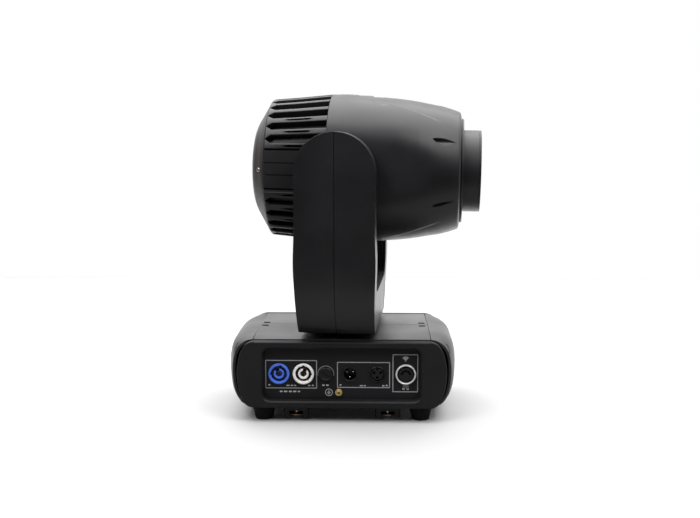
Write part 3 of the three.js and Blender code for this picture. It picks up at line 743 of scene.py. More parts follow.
place(cap, M_HEAD, ABS_CAP, "head", ["rear_cap"], angle=28)


def screw(name, at, direction, r, M, body, mat=STEEL, head=1.4, kind="cross"):
    s = revolve(name, curve_round([(0, -2.4), (r * 0.6, -2.4), (r * 0.6, 0), (r, 0.0), (r, head * 0.45), (r * 0.72, head * 0.9), (0, head)], 0.25, 3, closed=False), 28, "z")
    if kind == "cross":
        for ang in (0.4, 0.4 + pi / 2):
            boo(s, turn(block("cut", -r * 0.62, r * 0.62, -0.16 * r, 0.16 * r, head * 0.25, head + 2), Matrix.Rotation(ang, 4, "Z")))
    else:
        boo(s, revolve("cut", [(0, head * 0.1), (r * 0.45, head * 0.1), (r * 0.5, head + 2), (0, head + 2)], 6, "z"))
    turn(s, Matrix.Translation(at) @ Vector(direction).to_track_quat("Z", "Y").to_matrix().to_4x4())
    return place(s, M, mat, body, ())


for sgn in (1, -1):
    screw("cap_screw_%d" % (1 if sgn > 0 else 2), (-96.3, -71.1 * sgn, 0), (-0.5, -0.866 * sgn, 0), 2.5, M_HEAD, "head")

# ----- front ring, barrel and lens
loop = curve_round([(51.6, 147.95, 0.2), (64.9, 147.95, 0.3), (64.9, 150.4, 1.3), (54.4, 150.4, 0.5), (53.7, 149.7, 0.3), (51.6, 149.7, 0.3)], 0.25, 5)
o = revolve("front_ring_moulding", loop + [loop[0]], 160, "x")
place(o, M_HEAD, ABS, "head", ["front_ring"])
loop = curve_round([(47.35, 118.0, 0.4), (50.9, 118.0, 0.3), (50.9, 169.2, 0.1), (50.5, 169.6, 0.1), (50.5, 170.1, 0.1), (50.9, 170.5, 0.1), (50.9, 172.3, 0.8), (49.0, 172.3, 0.5), (47.6, 170.8, 0.3), (47.35, 168.5, 0.2), (47.0, 168.3, 0.2), (47.0, 118.0, 0.2)], 0.2, 4)
o = revolve("lens_tube", loop + [loop[0]], 160, "x")
place(o, M_HEAD, ABS, "head", ["lens_barrel"])
lp = dense([(0, 167.5), (13, 166.8), (26, 164.5), (38, 160.5), (44.5, 157.3)], 2)
o = revolve("objective_lens", [(max(0, r), h) for r, h in lp] + [(46.6, 156.0), (46.9, 155.2), (46.9, 150.6), (46.5, 150.1), (30, 150.0), (0, 150.0)], 128, "x")
place(o, M_HEAD, LENS, "head", ["front_lens"], weighted=False)
ribs = [(46.4, 149.6)]
x = 148.5
while x > 119.5:
    rr = 46.0 - (149 - x) * 0.35
    ribs += [(rr, x), (rr - 0.9, x - 0.7), (rr - 0.9, x - 1.5), (rr - 0.7, x - 2.0)]
    x -= 2.6
ribs += [(34.5, 118.2), (46.4, 118.2)]
o = revolve("beam_baffle", ribs + [ribs[0]], 96, "x")
place(o, M_HEAD, NEAR_BLACK_AND_SHADE, "head", (), weighted=False)

# ------------------------------------------------------------------ yoke
ARM_OUT, ARM_IN, ARM_H = 113.8, 84.0, 47.9


def yoke_outline(t):
    out = [(ARM_OUT - t, 172), (111.8 - t, 150), (107.8 - t, 132), (102 - t, 116), (94 - t, 102.5), (87.5 - t, 94.5), (84 - t, 91.2 + t * 0.6), (78, 90.2 + t), (70, 90.0 + t)]
    inn = [(ARM_IN + t, 160), (81.9 + t, 150.5), (76.4, 142.8 - 0.8 * t), (66, 140.6 - t)]
    top = 345
    oc = dense([(ARM_OUT - t, 190)] + out, 5)
    ic = dense([(ARM_IN + t, 172)] + inn, 3)
    right = [(ARM_OUT - t, top)] + oc
    left = [(-a, b) for a, b in right[::-1]]
    return ic[::-1] + [(ARM_IN + t, top)] + right + left + [(-ARM_IN - t, top)] + [(-a, b) for a, b in ic]


def arm_face(t):
    p, r = [], ARM_H - t
    for i in range(49):
        a = pi * i / 48
        p.append((r * cos(a), TZ + r * sin(a)))
    left = dense([(-r, 262), (-r, 232), (-48.3 + t, 208), (-49.0 + t, 190), (-49.1 + t, 178), (-48.8 + t, 164), (-48.3 + t, 150), (-47.8 + t, 136), (-47.3 + t, 120), (-46.7 + t, 92.5 + t)], 8)
    base = [(-33, 91.4 + t), (-22, 90.7 + t), (0, 90.2 + t), (22, 90.7 + t), (33, 91.4 + t)]
    return p + left + base + [(-a, b) for a, b in left[::-1]]


def yoke_solid(t, grow=0.0):
    a = prism("ya", yoke_outline(t), -70, 70, "x")
    b = prism("yb", arm_face(t), -130, 130, "y")
    return boo(a, b, "INTERSECT")


# the outside, with its rim rounded: the edges between the outer faces and the rim
outer = yoke_solid(0)
bm = bmesh.new()
bm.from_mesh(outer.data)
bmesh.ops.dissolve_limit(bm, angle_limit=radians(0.4), verts=bm.verts, edges=bm.edges)
es = []
for e in bm.edges:
    if len(e.link_faces) == 2 and e.calc_face_angle(0) > radians(50) and min(v.co.z for v in e.verts) > 97:
        es.append(e)
bmesh.ops.bevel(bm, geom=es, offset=2.6, segments=4, profile=0.55, affect="EDGES", clamp_overlap=True)
bm.to_mesh(outer.data)
bm.free()
core = yoke_solid(3.0)
step_in = yoke_solid(0.55)
hub = revolve("cut", [(0, 70), (27, 70), (27, 100), (0, 100)], 64, "z")
holes = merge("cut", [hub] + [turn(revolve("h", [(0, -8), (12, -8), (12, 8), (0, 8)], 48, "y"), Matrix.Translation((0, s * 84, TZ))) for s in (1, -1)])
for name, node, sgn in (("yoke_cover_back", "yoke_cover_rear", -1), ("yoke_cover_beam_side", "yoke_cover_front", 1)):
    x0, x1 = sorted((sgn * 0.5, sgn * 90))
    half = link("h1", outer.data.copy())
    boo(half, block("cut", x0, x1, -200, 200, 0, 500), "INTERSECT")
    x0, x1 = sorted((sgn * 0.16, sgn * 1.2))
    lipp = link("h2", step_in.data.copy())
    boo(lipp, block("cut", x0, x1, -200, 200, 0, 500), "INTERSECT")
    boo(half, lipp, "UNION")
    boo(half, core, keep=True)
    boo(half, holes, keep=True)
    half.name = name
    place(half, M_YOKE, ABS, "yoke", [node], angle=28)
for q in (outer, core, step_in, holes):
    drop(q)
# screws in the inner faces of the arms, where the covers are fastened
k = 0
for s in (1, -1):
    for x, z in ((-30, 176), (30, 176)):
        k += 1
        screw("yoke_screw_%d" % k, (x, s * 83.9, z), (0, -s, 0), 2.6, M_YOKE, "yoke", head=0.9)

# hub between the base and the yoke
loop = curve_round([(8, 2), (30, 2, 0.5), (30, 8, 0.5), (15, 12, 1), (15, 74, 1), (42, 77, 0.8), (42, 83.4, 0.3), (41.2, 84.0, 0.3), (41.2, 85.2, 0.3), (42, 85.8, 0.3), (42, 90.0, 0.9), (25, 90.3, 0.2), (25, 97.6, 0.4), (14, 97.6, 0.4), (14, 131, 0.5), (8, 131, 0.5)], 0.3, 3)
o = revolve("pan_hub", loop + [loop[0]], 128, "z")
place(o, M_BASE, PLASTIC, "base", ["pan_shaft"])

# ------------------------------------------------------------------ base
FRAME_T = [(107, 0), (113.2, 0.6), (119.3, 4), (122.9, 10), (126.4, 18.6), (128.7, 28.6), (129.8, 40), (129.4, 50), (127.6, 60), (124.4, 70), (119.4, 78), (114.5, 82.6), (108.8, 84)]
SHELL_T = [(109, 0), (121, 0.6), (129.8, 4), (134.7, 10), (138.3, 18.6), (140.2, 28.6), (141.0, 40), (141.4, 50), (141.2, 59), (140.1, 67), (137.6, 74), (132.6, 79), (125.8, 82.4), (117.5, 83.8), (109.0, 84.1)]
NEAR_T = [(107, 0), (112.8, 0.6), (118.5, 4), (121.8, 10), (125.0, 18.6), (127.2, 28.6), (128.2, 40), (127.9, 50), (126.2, 60), (123.1, 70), (118.3, 77.5), (113.8, 81.0), (109.0, 82.5)]


def resample(pts, n):
    P = [np.array(p, float) for p in pts]
    L = [0.0]
    for a, b in zip(P, P[1:]):
        L.append(L[-1] + float(np.linalg.norm(b - a)))
    out = []
    for k in range(n):
        s = L[-1] * k / (n - 1)
        i = max(0, min(len(P) - 2, int(np.searchsorted(L, s)) - 1))
        t = (s - L[i]) / max(1e-9, L[i + 1] - L[i])
        out.append(P[i] * (1 - t) + P[i + 1] * t)
    return out


NS = 46
fr_c = resample(dense(FRAME_T, 1.5), NS)
sh_c = resample(dense(SHELL_T, 1.5), NS)


def shell_section(y):
    w = (abs(y) / 93.0) ** (4 if y < 0 else 6)
    return [a * (1 - w) + b * w for a, b in zip(sh_c, fr_c)]


def side_shell(name, node, sgn):
    ys = [-83.7, -83.55, -83.2, -82.6] + [(-82 + 164 * i / 26) for i in range(1, 26)] + [82.6, 83.2, 83.55, 83.7]
    secs = []
    for y in ys:
        S = shell_section(y)
        e = 83.7 - abs(y)
        rnd = 0.55 * (1 - min(1.0, e / 0.9)) ** 2
        o_ = inset_loop([(p[0], p[1]) for p in S] + [(60, 60), (60, 20)], rnd)[:NS] if rnd > 0 else [(p[0], p[1]) for p in S]
        i_ = inset_loop([(p[0], p[1]) for p in S] + [(60, 60), (60, 20)], 3.0)[:NS]
        # straight inner and outer ends against the tray and the covers
        o_ = [(max(a, 109.1), min(max(b, 0.0), 84.1)) for a, b in o_]
        i_ = [(max(a, 109.1), min(max(b, 3.0), 81.1)) for a, b in i_]
        # the bottom lip runs in to the tray, as in the CAD
        o_[0], i_[0] = (105.9, o_[0][1]), (105.9, i_[0][1])
        secs.append(([(sgn * a, y, b) for a, b in o_], [(sgn * a, y, b) for a, b in i_]))
    n = 2 * NS
    vs, fs = [], []
    for o_, i_ in secs:
        vs += o_ + i_[::-1]
    for r in range(len(secs) - 1):
        for i in range(n):
            j = (i + 1) % n
            fs.append((r * n + i, r * n + j, (r + 1) * n + j, (r + 1) * n + i))
    for r in (0, len(secs) - 1):
        for i in range(NS - 1):
            fs.append((r * n + i, r * n + i + 1, r * n + n - 2 - i, r * n + n - 1 - i))
    o = raw(name, vs, fs)
    # slanted grip slots behind each end frame, one high and one low
    for ys_ in (1, -1):
        for (ya, za), (yb, zb) in (((-81.6, 66.5), (-73.5, 77.0)), ((-81.6, 19.5), (-74.0, 10.5))):
            ya_, yb_ = ya * -ys_, yb * -ys_
            mid = Vector((sgn * 128, (ya_ + yb_) / 2, (za + zb) / 2))
            d = Vector((0, yb_ - ya_, zb - za))
            L = d.length / 2
            d.normalize()
            nrm = Vector((sgn, 0, 0))
            up = nrm.cross(d)
            R = Matrix((d, nrm, up)).transposed().to_4x4()
            c = prism("cut", round_rect(-L, L, -1.15, 1.15, 1.1, 4), -20, 20, "z")
            # outline lies in d and up, the cut runs along the normal
            R2 = Matrix((d, up, nrm)).transposed().to_4x4()
            turn(c, Matrix.Translation(mid) @ R2)
            boo(o, c)
    return place(o, M_BASE, ABS, "base", [node], angle=30)


side_shell("side_shell_beam_side", "side_shell_right", 1)
side_shell("side_shell_fan_side", "side_shell_left", -1)


def ray_hit(poly, a):
    """Distance from the origin to a star-shaped outline along angle a."""
    d = np.array((cos(a), sin(a)))
    best = None
    n = len(poly)
    for i in range(n):
        p, q = poly[i], poly[(i + 1) % n]
        e = (q[0] - p[0], q[1] - p[1])
        den = d[0] * e[1] - d[1] * e[0]
        if abs(den) < 1e-12:
            continue
        t = (p[0] * e[1] - p[1] * e[0]) / den
        u = (p[0] * d[1] - p[1] * d[0]) / den
        if t > 0 and -1e-7 <= u <= 1 + 1e-7:
            best = t if best is None else min(best, t)
    return best


def end_frame(name, node, sgn):
    ZC = 42.0
    far = [(p[0] - 0.3, p[1]) for p in shell_section(86.0)]
    side = dense(far[::3] + [far[-1]] if sgn > 0 else NEAR_T, 1.5)
    side = [(a, b) for a, b in side if b < 83.2 and a > 108.9]
    fall, tz = (0.16, 83.3) if sgn < 0 else (0.03, 84.3)
    top = [(108.3, 82.7), (107.6, 83.0), (106.9, tz), (60, tz), (0, tz)] if sgn < 0 else [(112.6, 83.6), (109.2, 84.1), (107.9, tz), (106.9, tz), (60, tz), (0, tz)]
    right = [(0, 0), (60, 0), (107, 0)] + [q for q in side if q[0] > 107.2] + top
    outline = [(a, b - ZC) for a, b in right] + [(-a, b - ZC) for a, b in right[::-1][1:-1]]
    inner = [(a, b - ZC) for a, b in round_rect(-96.3, 96.3, 8.8, 73.8, 9, 8)]
    angs = set()
    for p in outline + inner:
        angs.add(round(atan2(p[1], p[0]), 5))
    for k in range(120):
        angs.add(round(-pi + 2 * pi * k / 120 + 0.0003, 5))
    angs = sorted(angs)
    keep = [angs[0]]
    for a in angs[1:]:
        if a - keep[-1] > 0.0025:
            keep.append(a)
    O = [(ray_hit(outline, a) * cos(a), ray_hit(outline, a) * sin(a)) for a in keep]
    I = [(ray_hit(inner, a) * cos(a), ray_hit(inner, a) * sin(a)) for a in keep]
    n = len(keep)

    def back(x):
        return max(0.0, abs(x) - 104.5) * 0.115

    def blendp(t):
        return [(o_[0] * (1 - t) + i_[0] * t, o_[1] * (1 - t) + i_[1] * t) for o_, i_ in zip(O, I)]

    def drop_top(loop, y):
        # the inset loops near the top follow the sloping surface
        return [(x, z - ((y - 84.0) * fall if (z > 78 - ZC and abs(x) < 107.6) else 0.0)) for x, z in loop]

    loops = []
    loops.append([(x, 84.0, z) for x, z in O])
    loops.append([(x, 88.0 - back(x) * 0.5, z) for x, z in drop_top(O, 88.0)])
    loops.append([(x, 91.6 - back(x), z) for x, z in drop_top(O, 91.6)])
    loops.append([(x, 92.35 - back(x), z) for x, z in drop_top(inset_loop(O, 0.3), 91.6)])
    loops.append([(x, 92.85 - back(x), z) for x, z in drop_top(inset_loop(O, 0.9), 91.6)])
    loops.append([(x, 93.0 - back(x), z) for x, z in drop_top(inset_loop(O, 1.6), 91.6)])
    for t in (0.35, 0.7):
        loops.append([(x, 93.0 - back(x), z) for x, z in blendp(t)])
    loops.append([(x, 93.0 - back(x), z) for x, z in inset_loop(I, -2.5)])
    loops.append([(x, 92.8, z) for x, z in inset_loop(I, -1.9)])
    loops.append([(x, 91.4, z) for x, z in inset_loop(I, -0.5)])
    loops.append([(x, 90.6, z) for x, z in inset_loop(I, 0.0)])
    loops.append([(x, 86.0, z) for x, z in inset_loop(I, 0.7)])
    loops.append([(x, 84.25, z) for x, z in inset_loop(I, 0.9)])
    loops.append([(x, 84.0, z) for x, z in inset_loop(I, 0.9)])
    vs = [(x, sgn * y, z + ZC) for L in loops for x, y, z in L]
    fs = []
    m = len(loops)
    for a in range(m):
        b = (a + 1) % m
        for i in range(n):
            j = (i + 1) % n
            fs.append((a * n + i, a * n + j, b * n + j, b * n + i))
    o = raw(name, vs, fs)
    return place(o, M_BASE, ABS_FRAME, "base", [node], angle=26)


end_frame("end_frame_connector_side", "connector_frame", -1)
end_frame("end_frame_display_side", "display_frame", 1)


def cover_top(y):
    return 84.1 + 1.9 * (1 - (abs(y) / 84.0) ** 2)


def top_cover(name, node, sgn):
    r = 42.6
    a1 = math.asin(0.15 / r)
    hole = [(r * cos(a), r * sin(a)) for a in [pi - a1 - (pi - 2 * a1) * i / 48 for i in range(49)]]
    out = [(-108.25, 0.15), *hole, (108.25, 0.15), (108.25, 83.85), (-108.25, 83.85)]
    o = prism(name, out, 81.1, 84.1, "z")
    bm = bmesh.new()
    bm.from_mesh(o.data)
    for yy in (8, 16, 24, 32, 40, 48, 56, 64, 72, 79):
        g = bm.verts[:] + bm.edges[:] + bm.faces[:]
        bmesh.ops.bisect_plane(bm, geom=g, plane_co=(0, yy, 0), plane_no=(0, 1, 0), dist=1e-5)
    es = [e for e in bm.edges if len(e.link_faces) == 2 and e.calc_face_angle(0) > radians(60) and min(v.co.z for v in e.verts) > 84.0]
    bmesh.ops.bevel(bm, geom=es, offset=0.5, segments=3, profile=0.5, affect="EDGES", clamp_overlap=True)
    for v in bm.verts:
        if v.co.z > 82:
            v.co.z += cover_top(v.co.y) - 84.1
    bm.to_mesh(o.data)
    bm.free()
    if sgn < 0:
        turn(o, Matrix.Rotation(pi, 4, "Z"))
    cuts = []
    for x in (-101, 101):
        y = sgn * 9.2
        cuts.append(prism("cut", round_rect(x - 4.2, x + 4.2, y - 3.4, y + 3.4, 1.4, 4), 70, 90, "z"))
    boo(o, merge("cut", cuts))
    return place(o, M_BASE, ABS, "base", [node], angle=30)


# painted shade: a near-black plate sits under each pair of vent slots so the slots look dark
for k_, x_ in enumerate((-101, 101)):
    shade_plate = block("vent_shade_plate_%d" % (k_ + 1), x_ - 6.4, x_ + 6.4, -14, 14, 76.0, 77.2, 0.3, 2)
    place(shade_plate, M_BASE, NEAR_BLACK_AND_SHADE, "base", ())
top_cover("top_cover_near", "top_cover_connector_side", -1)
top_cover("top_cover_far", "top_cover_display_side", 1)

# ----- panels
PY = 84.0


def panel(name, node, sgn, holes):
    y0, y1 = sorted((sgn * (PY - 2.2), sgn * (PY - 0.2)))
    o = prism(name, round_rect(-97.5, 97.5, 7.4, 76.0, 6, 5), y0, y1, "y")
    cuts = []
    for h in holes:
        if len(h) == 3:
            x, z, r = h
            cuts.append(turn(revolve("cut", [(0, -12), (r, -12), (r, 12), (0, 12)], 48, "y"), Matrix.Translation((x, sgn * PY, z))))
        else:
            x0, x1, z0, z1 = h
            cuts.append(prism("cut", round_rect(x0, x1, z0, z1, 1.5, 4), sgn * PY - 12, sgn * PY + 12, "y"))
    boo(o, merge("cut", cuts))
    return place(o, M_BASE, PANEL, "base", [node], angle=30)


CZ = 41.0
XI, XO, XF, XD, XE, X5 = -77.0, -47.0, -19.5, 10.0, 43.5, 78.3
panel("connector_plate", "connector_panel", -1, [(XI, CZ, 11.9), (XO, CZ, 11.9), (XF, CZ, 6.8), (XD, CZ, 9.3), (XE, CZ, 9.3), (X5, CZ, 11.5)])
BX = (-24, -8, 8, 24)
panel("display_plate", "display_panel", 1, [(-30, 30, 36, 68)] + [(x, 25, 3.5) for x in BX])


def front(o, x, z, rot=0.0, y=-PY):
    """From the connector's own frame (z out of the panel) to the connector panel."""
    return turn(o, Matrix.Translation((x, y, z)) @ Matrix.Rotation(radians(90), 4, "X") @ Matrix.Rotation(rot, 4, "Z"))


def mains(name, node, x, mat, shaded_inner, key_angles, gap_angle):
    # outer collar with a chamfered rim
    loop = [(0, -18)] + curve_round([(0, -18), (11.2, -18, 0.3), (11.2, 0.12, 0), (13.0, 0.12, 0.15), (13.0, 1.9, 0.7), (12.2, 2.8, 0.6), (10.5, 2.8, 0.5), (9.8, 2.0, 0.4), (9.8, -12.0, 0.3), (6.45, -12.0, 0.3), (6.45, 1.0, 0.5), (5.9, 1.5, 0.4), (4.4, 1.5, 0.4), (3.9, 0.9, 0.3), (3.9, -9.0, 0.3), (0, -9.0)], 0.3, 3, closed=False)[1:]
    s = revolve(name, loop, 72, "z")
    cuts = []
    for a in key_angles:      # coding notches in the collar
        cuts.append(turn(prism("cut", round_rect(9.0, 11.2, -1.6, 1.6, 0.8, 3), -11, 4, "z"), Matrix.Rotation(a, 4, "Z")))
    cuts.append(turn(prism("cut", curve_round([(2.0, -1.9), (7.4, -2.9), (7.4, 2.9), (2.0, 1.9)], 0.4, 3), -8.2, 4, "z"), Matrix.Rotation(gap_angle, 4, "Z")))
    boo(s, merge("cut", cuts))
    front(s, x, CZ)
    place(s, M_BASE, mat, "base", [node])
    # the carrier and the groove ring take the darker material passed in, painted shade deep in the recess
    # contact carrier inside the centre ring
    c = revolve(name + "_contact_carrier", curve_round([(0, -8.6), (3.7, -8.6, 0.2), (3.7, -1.9, 0.4), (0, -1.9)], 0.3, 3, closed=False), 40, "z")
    boo(c, merge("cut", [turn(block("cut", 1.2, 2.8, -0.55, 0.55, -7.6, 0), Matrix.Rotation(gap_angle + k * 2 * pi / 3, 4, "Z")) for k in range(3)]))
    front(c, x, CZ)
    place(c, M_BASE, shaded_inner, "base", ())
    for k in range(3):
        b = turn(block(name + "_contact_%d" % (k + 1), 1.35, 2.65, -0.35, 0.35, -8.4, -2.9, 0.12, 2), Matrix.Rotation(gap_angle + k * 2 * pi / 3, 4, "Z"))
        front(b, x, CZ)
        place(b, M_BASE, BRASS, "base", ())
    # contact ring at the bottom of the groove
    L_ = curve_round([(6.6, -11.9, 0.2), (9.65, -11.9, 0.2), (9.65, -3.2, 0.4), (6.6, -3.2, 0.4)], 0.3, 3)
    g = revolve(name + "_groove_ring", L_ + [L_[0]], 64, "z")
    boo(g, merge("cut", [turn(prism("cut", round_rect(7.2, 9.0, -1.3, 1.3, 0.6, 3), -6.0, 0, "z"), Matrix.Rotation(gap_angle + 0.5 + k * 2 * pi / 3, 4, "Z")) for k in range(3)]))
    front(g, x, CZ)
    place(g, M_BASE, shaded_inner, "base", ())


# painted shade: a darkened copy of the blue for the inlet's carrier and groove ring; the outlet takes black plastic
# there for the same shade
BLUE_PAINTED_SHADE = moulded("blue_painted_shade", (0.006, 0.010, 0.045), rough=0.45, grain=700, bump=0.04, spread=0.1)
mains("mains_inlet", "power_inlet", XI, BLUE, BLUE_PAINTED_SHADE, (pi, radians(78)), radians(112))
mains("mains_outlet", "power_outlet", XO, WHITE, PLASTIC, (0.0, radians(88)), radians(70))

# fuse holder: knurled body, a black rim and a screwdriver slot; the bright arc over the rim is a painted highlight,
# laid on the panel as print
loop = [(0, -14)] + curve_round([(0, -14), (6.2, -14, 0.3), (6.2, 0.3, 0), (8.6, 0.3, 0.2), (8.6, 3.0, 0.7), (7.6, 3.75, 0.4), (6.6, 3.75, 0.2), (6.2, 3.3, 0.2), (0, 3.3)], 0.3, 3, closed=False)[1:]
s = revolve("fuse_knob", loop, 72, "z")
cuts = []
for k in range(24):
    a = 2 * pi * k / 24
    cuts.append(turn(revolve("cut", [(0, 0.9), (0.42, 0.9), (0.42, 2.9), (0, 2.9)], 8, "z"), Matrix.Rotation(a, 4, "Z") @ Matrix.Translation((8.75, 0, 0))))
boo(s, merge("cut", cuts))
boo(s, turn(block("cut", -6.0, 6.0, -0.6, 0.6, 2.1, 6), Matrix.Rotation(radians(-35), 4, "Z")))
front(s, XF, CZ)
place(s, M_BASE, PLASTIC, "fuse_cap", ["fuse_cap"])
loop = curve_round([(8.75, 0.15, 0.05), (9.35, 0.15, 0.1), (9.35, 1.6, 0.3), (8.75, 1.6, 0.2)], 0.1, 3)
s = revolve("fuse_bezel", loop + [loop[0]], 72, "z")
front(s, XF, CZ)
place(s, M_BASE, PLASTIC, "base", ())

# data inlet: three pins in a deep cup
loop = [(0, -16)] + curve_round([(0, -16), (8.9, -16, 0.2), (8.9, 0.12, 0), (9.6, 0.12, 0.1), (9.6, 1.1, 0.4), (8.4, 1.5, 0.3), (7.9, 1.1, 0.2), (7.9, -13, 0.3), (0, -13)], 0.3, 3, closed=False)[1:]
s = revolve("data_inlet_cup", loop, 64, "z")
boo(s, turn(prism("cut", round_rect(-1.5, 1.5, 7.0, 8.7, 0.5, 3), -12, 3, "z"), Matrix.Identity(4)))
front(s, XD, CZ)
place(s, M_BASE, PLASTIC, "base", ["data_inlet"])
for k, (a, b) in enumerate(((-3.9, 2.6), (3.9, 2.6), (0, -4.2))):
    s = revolve("data_pin_%d" % (k + 1), [(0, -13.2), (1.2, -13.2), (1.2, -2.6), (1.05, -1.9), (0.75, -1.4), (0.35, -1.15), (0, -1.1)], 24, "z", at=(a, b, 0))
    front(s, XD, CZ)
    place(s, M_BASE, PIN, "base", (), weighted=False)

# data outlet: insert with three sockets inside a groove
loop = [(0, -16)] + curve_round([(0, -16), (8.9, -16, 0.2), (8.9, 0.12, 0), (9.9, 0.12, 0.1), (9.9, 1.2, 0.4), (9.0, 1.8, 0.3), (8.7, 1.5, 0.1), (8.7, -3.0, 0.2), (7.4, -3.0, 0.2), (7.4, 0.7, 0.5), (6.9, 1.1, 0.3), (0, 1.1)], 0.3, 3, closed=False)[1:]
s = revolve("data_outlet_insert", loop, 64, "z")
cuts = [revolve("cut", [(0, -12), (1.5, -12), (1.5, 0.7), (1.8, 1.2), (1.8, 4), (0, 4)], 24, "z", at=(a, b, 0)) for a, b in ((-3.9, 2.0), (3.9, 2.0), (0, -3.9))]
cuts.append(prism("cut", round_rect(-1.2, 1.2, 4.9, 7.9, 0.5, 3), -4, 3, "z"))
boo(s, merge("cut", cuts))
front(s, XE, CZ)
place(s, M_BASE, PLASTIC, "base", ["data_outlet"])

# five-pin socket: bright ring round a black insert, with its latch just below
loop = [(0, -16)] + curve_round([(0, -16), (10.4, -16, 0.2), (10.4, 0.1, 0), (10.2, 0.1, 0), (10.2, -2.4, 0.2), (8.9, -2.4, 0.2), (8.9, 1.0, 0.5), (8.4, 1.5, 0.3), (0, 1.5)], 0.3, 3, closed=False)[1:]
s = revolve("wireless_insert", loop, 72, "z")
cuts = []
for k in range(5):
    a = radians(20 + 35 * k)
    cuts.append(revolve("cut", [(0, -10), (1.3, -10), (1.3, 1.0), (1.6, 1.7), (1.6, 4), (0, 4)], 20, "z", at=(5.2 * cos(a), 5.2 * sin(a) - 1, 0)))
boo(s, merge("cut", cuts))
front(s, X5, CZ)
place(s, M_BASE, PLASTIC, "base", ["five_pin_socket"])
loop = curve_round([(10.55, 0.12, 0.1), (12.6, 0.12, 0.2), (12.6, 2.0, 0.8), (11.9, 2.95, 0.5), (11.0, 2.95, 0.5), (10.55, 2.2, 0.3)], 0.3, 4)
s = revolve("wireless_ring", loop + [loop[0]], 96, "z")
front(s, X5, CZ)
place(s, M_BASE, CHROME, "base", ())
# its push latch
LATCH = moulded("latch_plastic", (0.085, 0.085, 0.088), rough=0.4, grain=900, bump=0.08)
s = prism("wireless_latch", curve_round([(-2.9, -12.95), (2.9, -12.95), (3.7, -14.0), (3.7, -16.7), (-3.7, -16.7), (-3.7, -14.0)], 0.45, 3), 0.4, 2.15, "z", bevel=0.35)
boo(s, merge("cut", [block("cut", -2.7, 2.7, -16.1 + 0.75 * k, -15.8 + 0.75 * k, 1.9, 3) for k in range(3)]))
front(s, X5, CZ)
place(s, M_BASE, LATCH, "socket_latch", ["socket_latch"])

# ground screw
s = revolve("ground_washer", (lambda L: L + [L[0]])(curve_round([(1.9, 0.0, 0.05), (4.4, 0.0, 0.15), (4.4, 0.9, 0.3), (3.9, 1.1, 0.2), (1.9, 1.1, 0.1)], 0.1, 3)), 48, "z")
front(s, -3.7, 17.7)
place(s, M_BASE, BRASS, "base", ["ground_screw"])
s = revolve("ground_screw_head", curve_round([(0, -3.8), (1.8, -3.8), (1.8, 1.1, 0), (3.1, 1.1, 0.2), (3.1, 2.3, 0.5), (2.6, 2.85, 0.3), (0, 2.85)], 0.2, 3, closed=False), 48, "z")
boo(s, revolve("cut", [(0, -1.2), (1.5, -1.2), (1.5, 3.4), (0, 3.4)], 6, "z"))
front(s, -3.7, 17.7)
place(s, M_BASE, BRASS, "base", ())

# ----- printed lines and generic marks on the connector panel
SY = -(PY - 0.2) - 0.16


def strip_frame(name, x0, x1, z0, z1, w=1.05):
    a = round_rect(x0, x1, z0, z1, 1.0, 4)
    b = round_rect(x0 + w, x1 - w, z0 + w, z1 - w, 0.5, 4)
    n = len(a)
    y0, y1 = SY, SY + 0.3
    vs = [(p[0], y0, p[1]) for p in a] + [(p[0], y0, p[1]) for p in b] + [(p[0], y1, p[1]) for p in b] + [(p[0], y1, p[1]) for p in a]
    fs = []
    for L in range(4):
        M_ = (L + 1) % 4
        for i in range(n):
            j = (i + 1) % n
            fs.append((L * n + i, L * n + j, M_ * n + j, M_ * n + i))
    return raw(name, vs, fs)


def bar(x, z, w, h=1.3):
    return prism("bar", round_rect(x - w / 2, x + w / 2, z - h / 2, z + h / 2, min(h, w) * 0.45, 3), SY, SY + 0.3, "y")


def arrow(x, z, s, up=True):
    k = 1 if up else -1
    return prism("arr", [(x - s, z - k * s * 0.55), (x + s, z - k * s * 0.55), (x, z + k * s * 0.75)], SY, SY + 0.3, "y")


def arcs(x, z, radii, a0, a1, w=0.75):
    out = []
    for r in radii:
        m = 14
        p = [((r + w / 2) * cos(a0 + (a1 - a0) * i / m) + x, (r + w / 2) * sin(a0 + (a1 - a0) * i / m) + z) for i in range(m + 1)]
        p += [((r - w / 2) * cos(a1 - (a1 - a0) * i / m) + x, (r - w / 2) * sin(a1 - (a1 - a0) * i / m) + z) for i in range(m + 1)]
        out.append(prism("arc", p, SY, SY + 0.3, "y"))
    return out


def place_print(name, objs, mat=None):
    o = merge(name, objs)
    return place(o, M_BASE, mat or SILK, "base", (), weighted=False)


SILK_BRIGHT = moulded("silk_screen_marks", (0.42, 0.42, 0.43), rough=0.6, grain=2500, bump=0.1, spread=0.15)
place_print("power_box_print", [strip_frame("f", -93.8, -30.3, 22.4, 58.0)])
place_print("signal_box_print", [strip_frame("f", -5.8, 59.0, 23.6, 56.1)])
place_print("wireless_box_print", [strip_frame("f", 62.0, 93.3, 18.6, 66.0)])
marks = [arrow(-89.0, 26.6, 1.7, False), bar(-66, 26.2, 4.0), bar(-61.2, 26.2, 3.0), bar(-57.2, 26.2, 2.6),
         arrow(-35.5, 26.6, 1.7, True), bar(-40, 26.2, 3.2),
         bar(-74.5, 18.6, 3.4, 1.8), bar(-69.0, 18.6, 4.4, 1.8), bar(-63.2, 18.6, 3.6, 1.8), bar(-57.8, 18.6, 4.2, 1.8), bar(-52.6, 18.6, 2.8, 1.8),
         bar(-22.4, 26.8, 3.4, 1.9), bar(-17.6, 26.8, 3.6, 1.9),
         arrow(-1.6, 27.0, 1.6, False), bar(24.0, 26.4, 3.8), bar(28.2, 26.4, 2.6), arrow(55.0, 27.0, 1.6, True), bar(50.8, 26.4, 3.0),
         bar(75.6, 22.6, 3.6, 2.0), bar(80.6, 22.6, 3.2, 2.0)]
place_print("panel_marks", marks, SILK_BRIGHT)
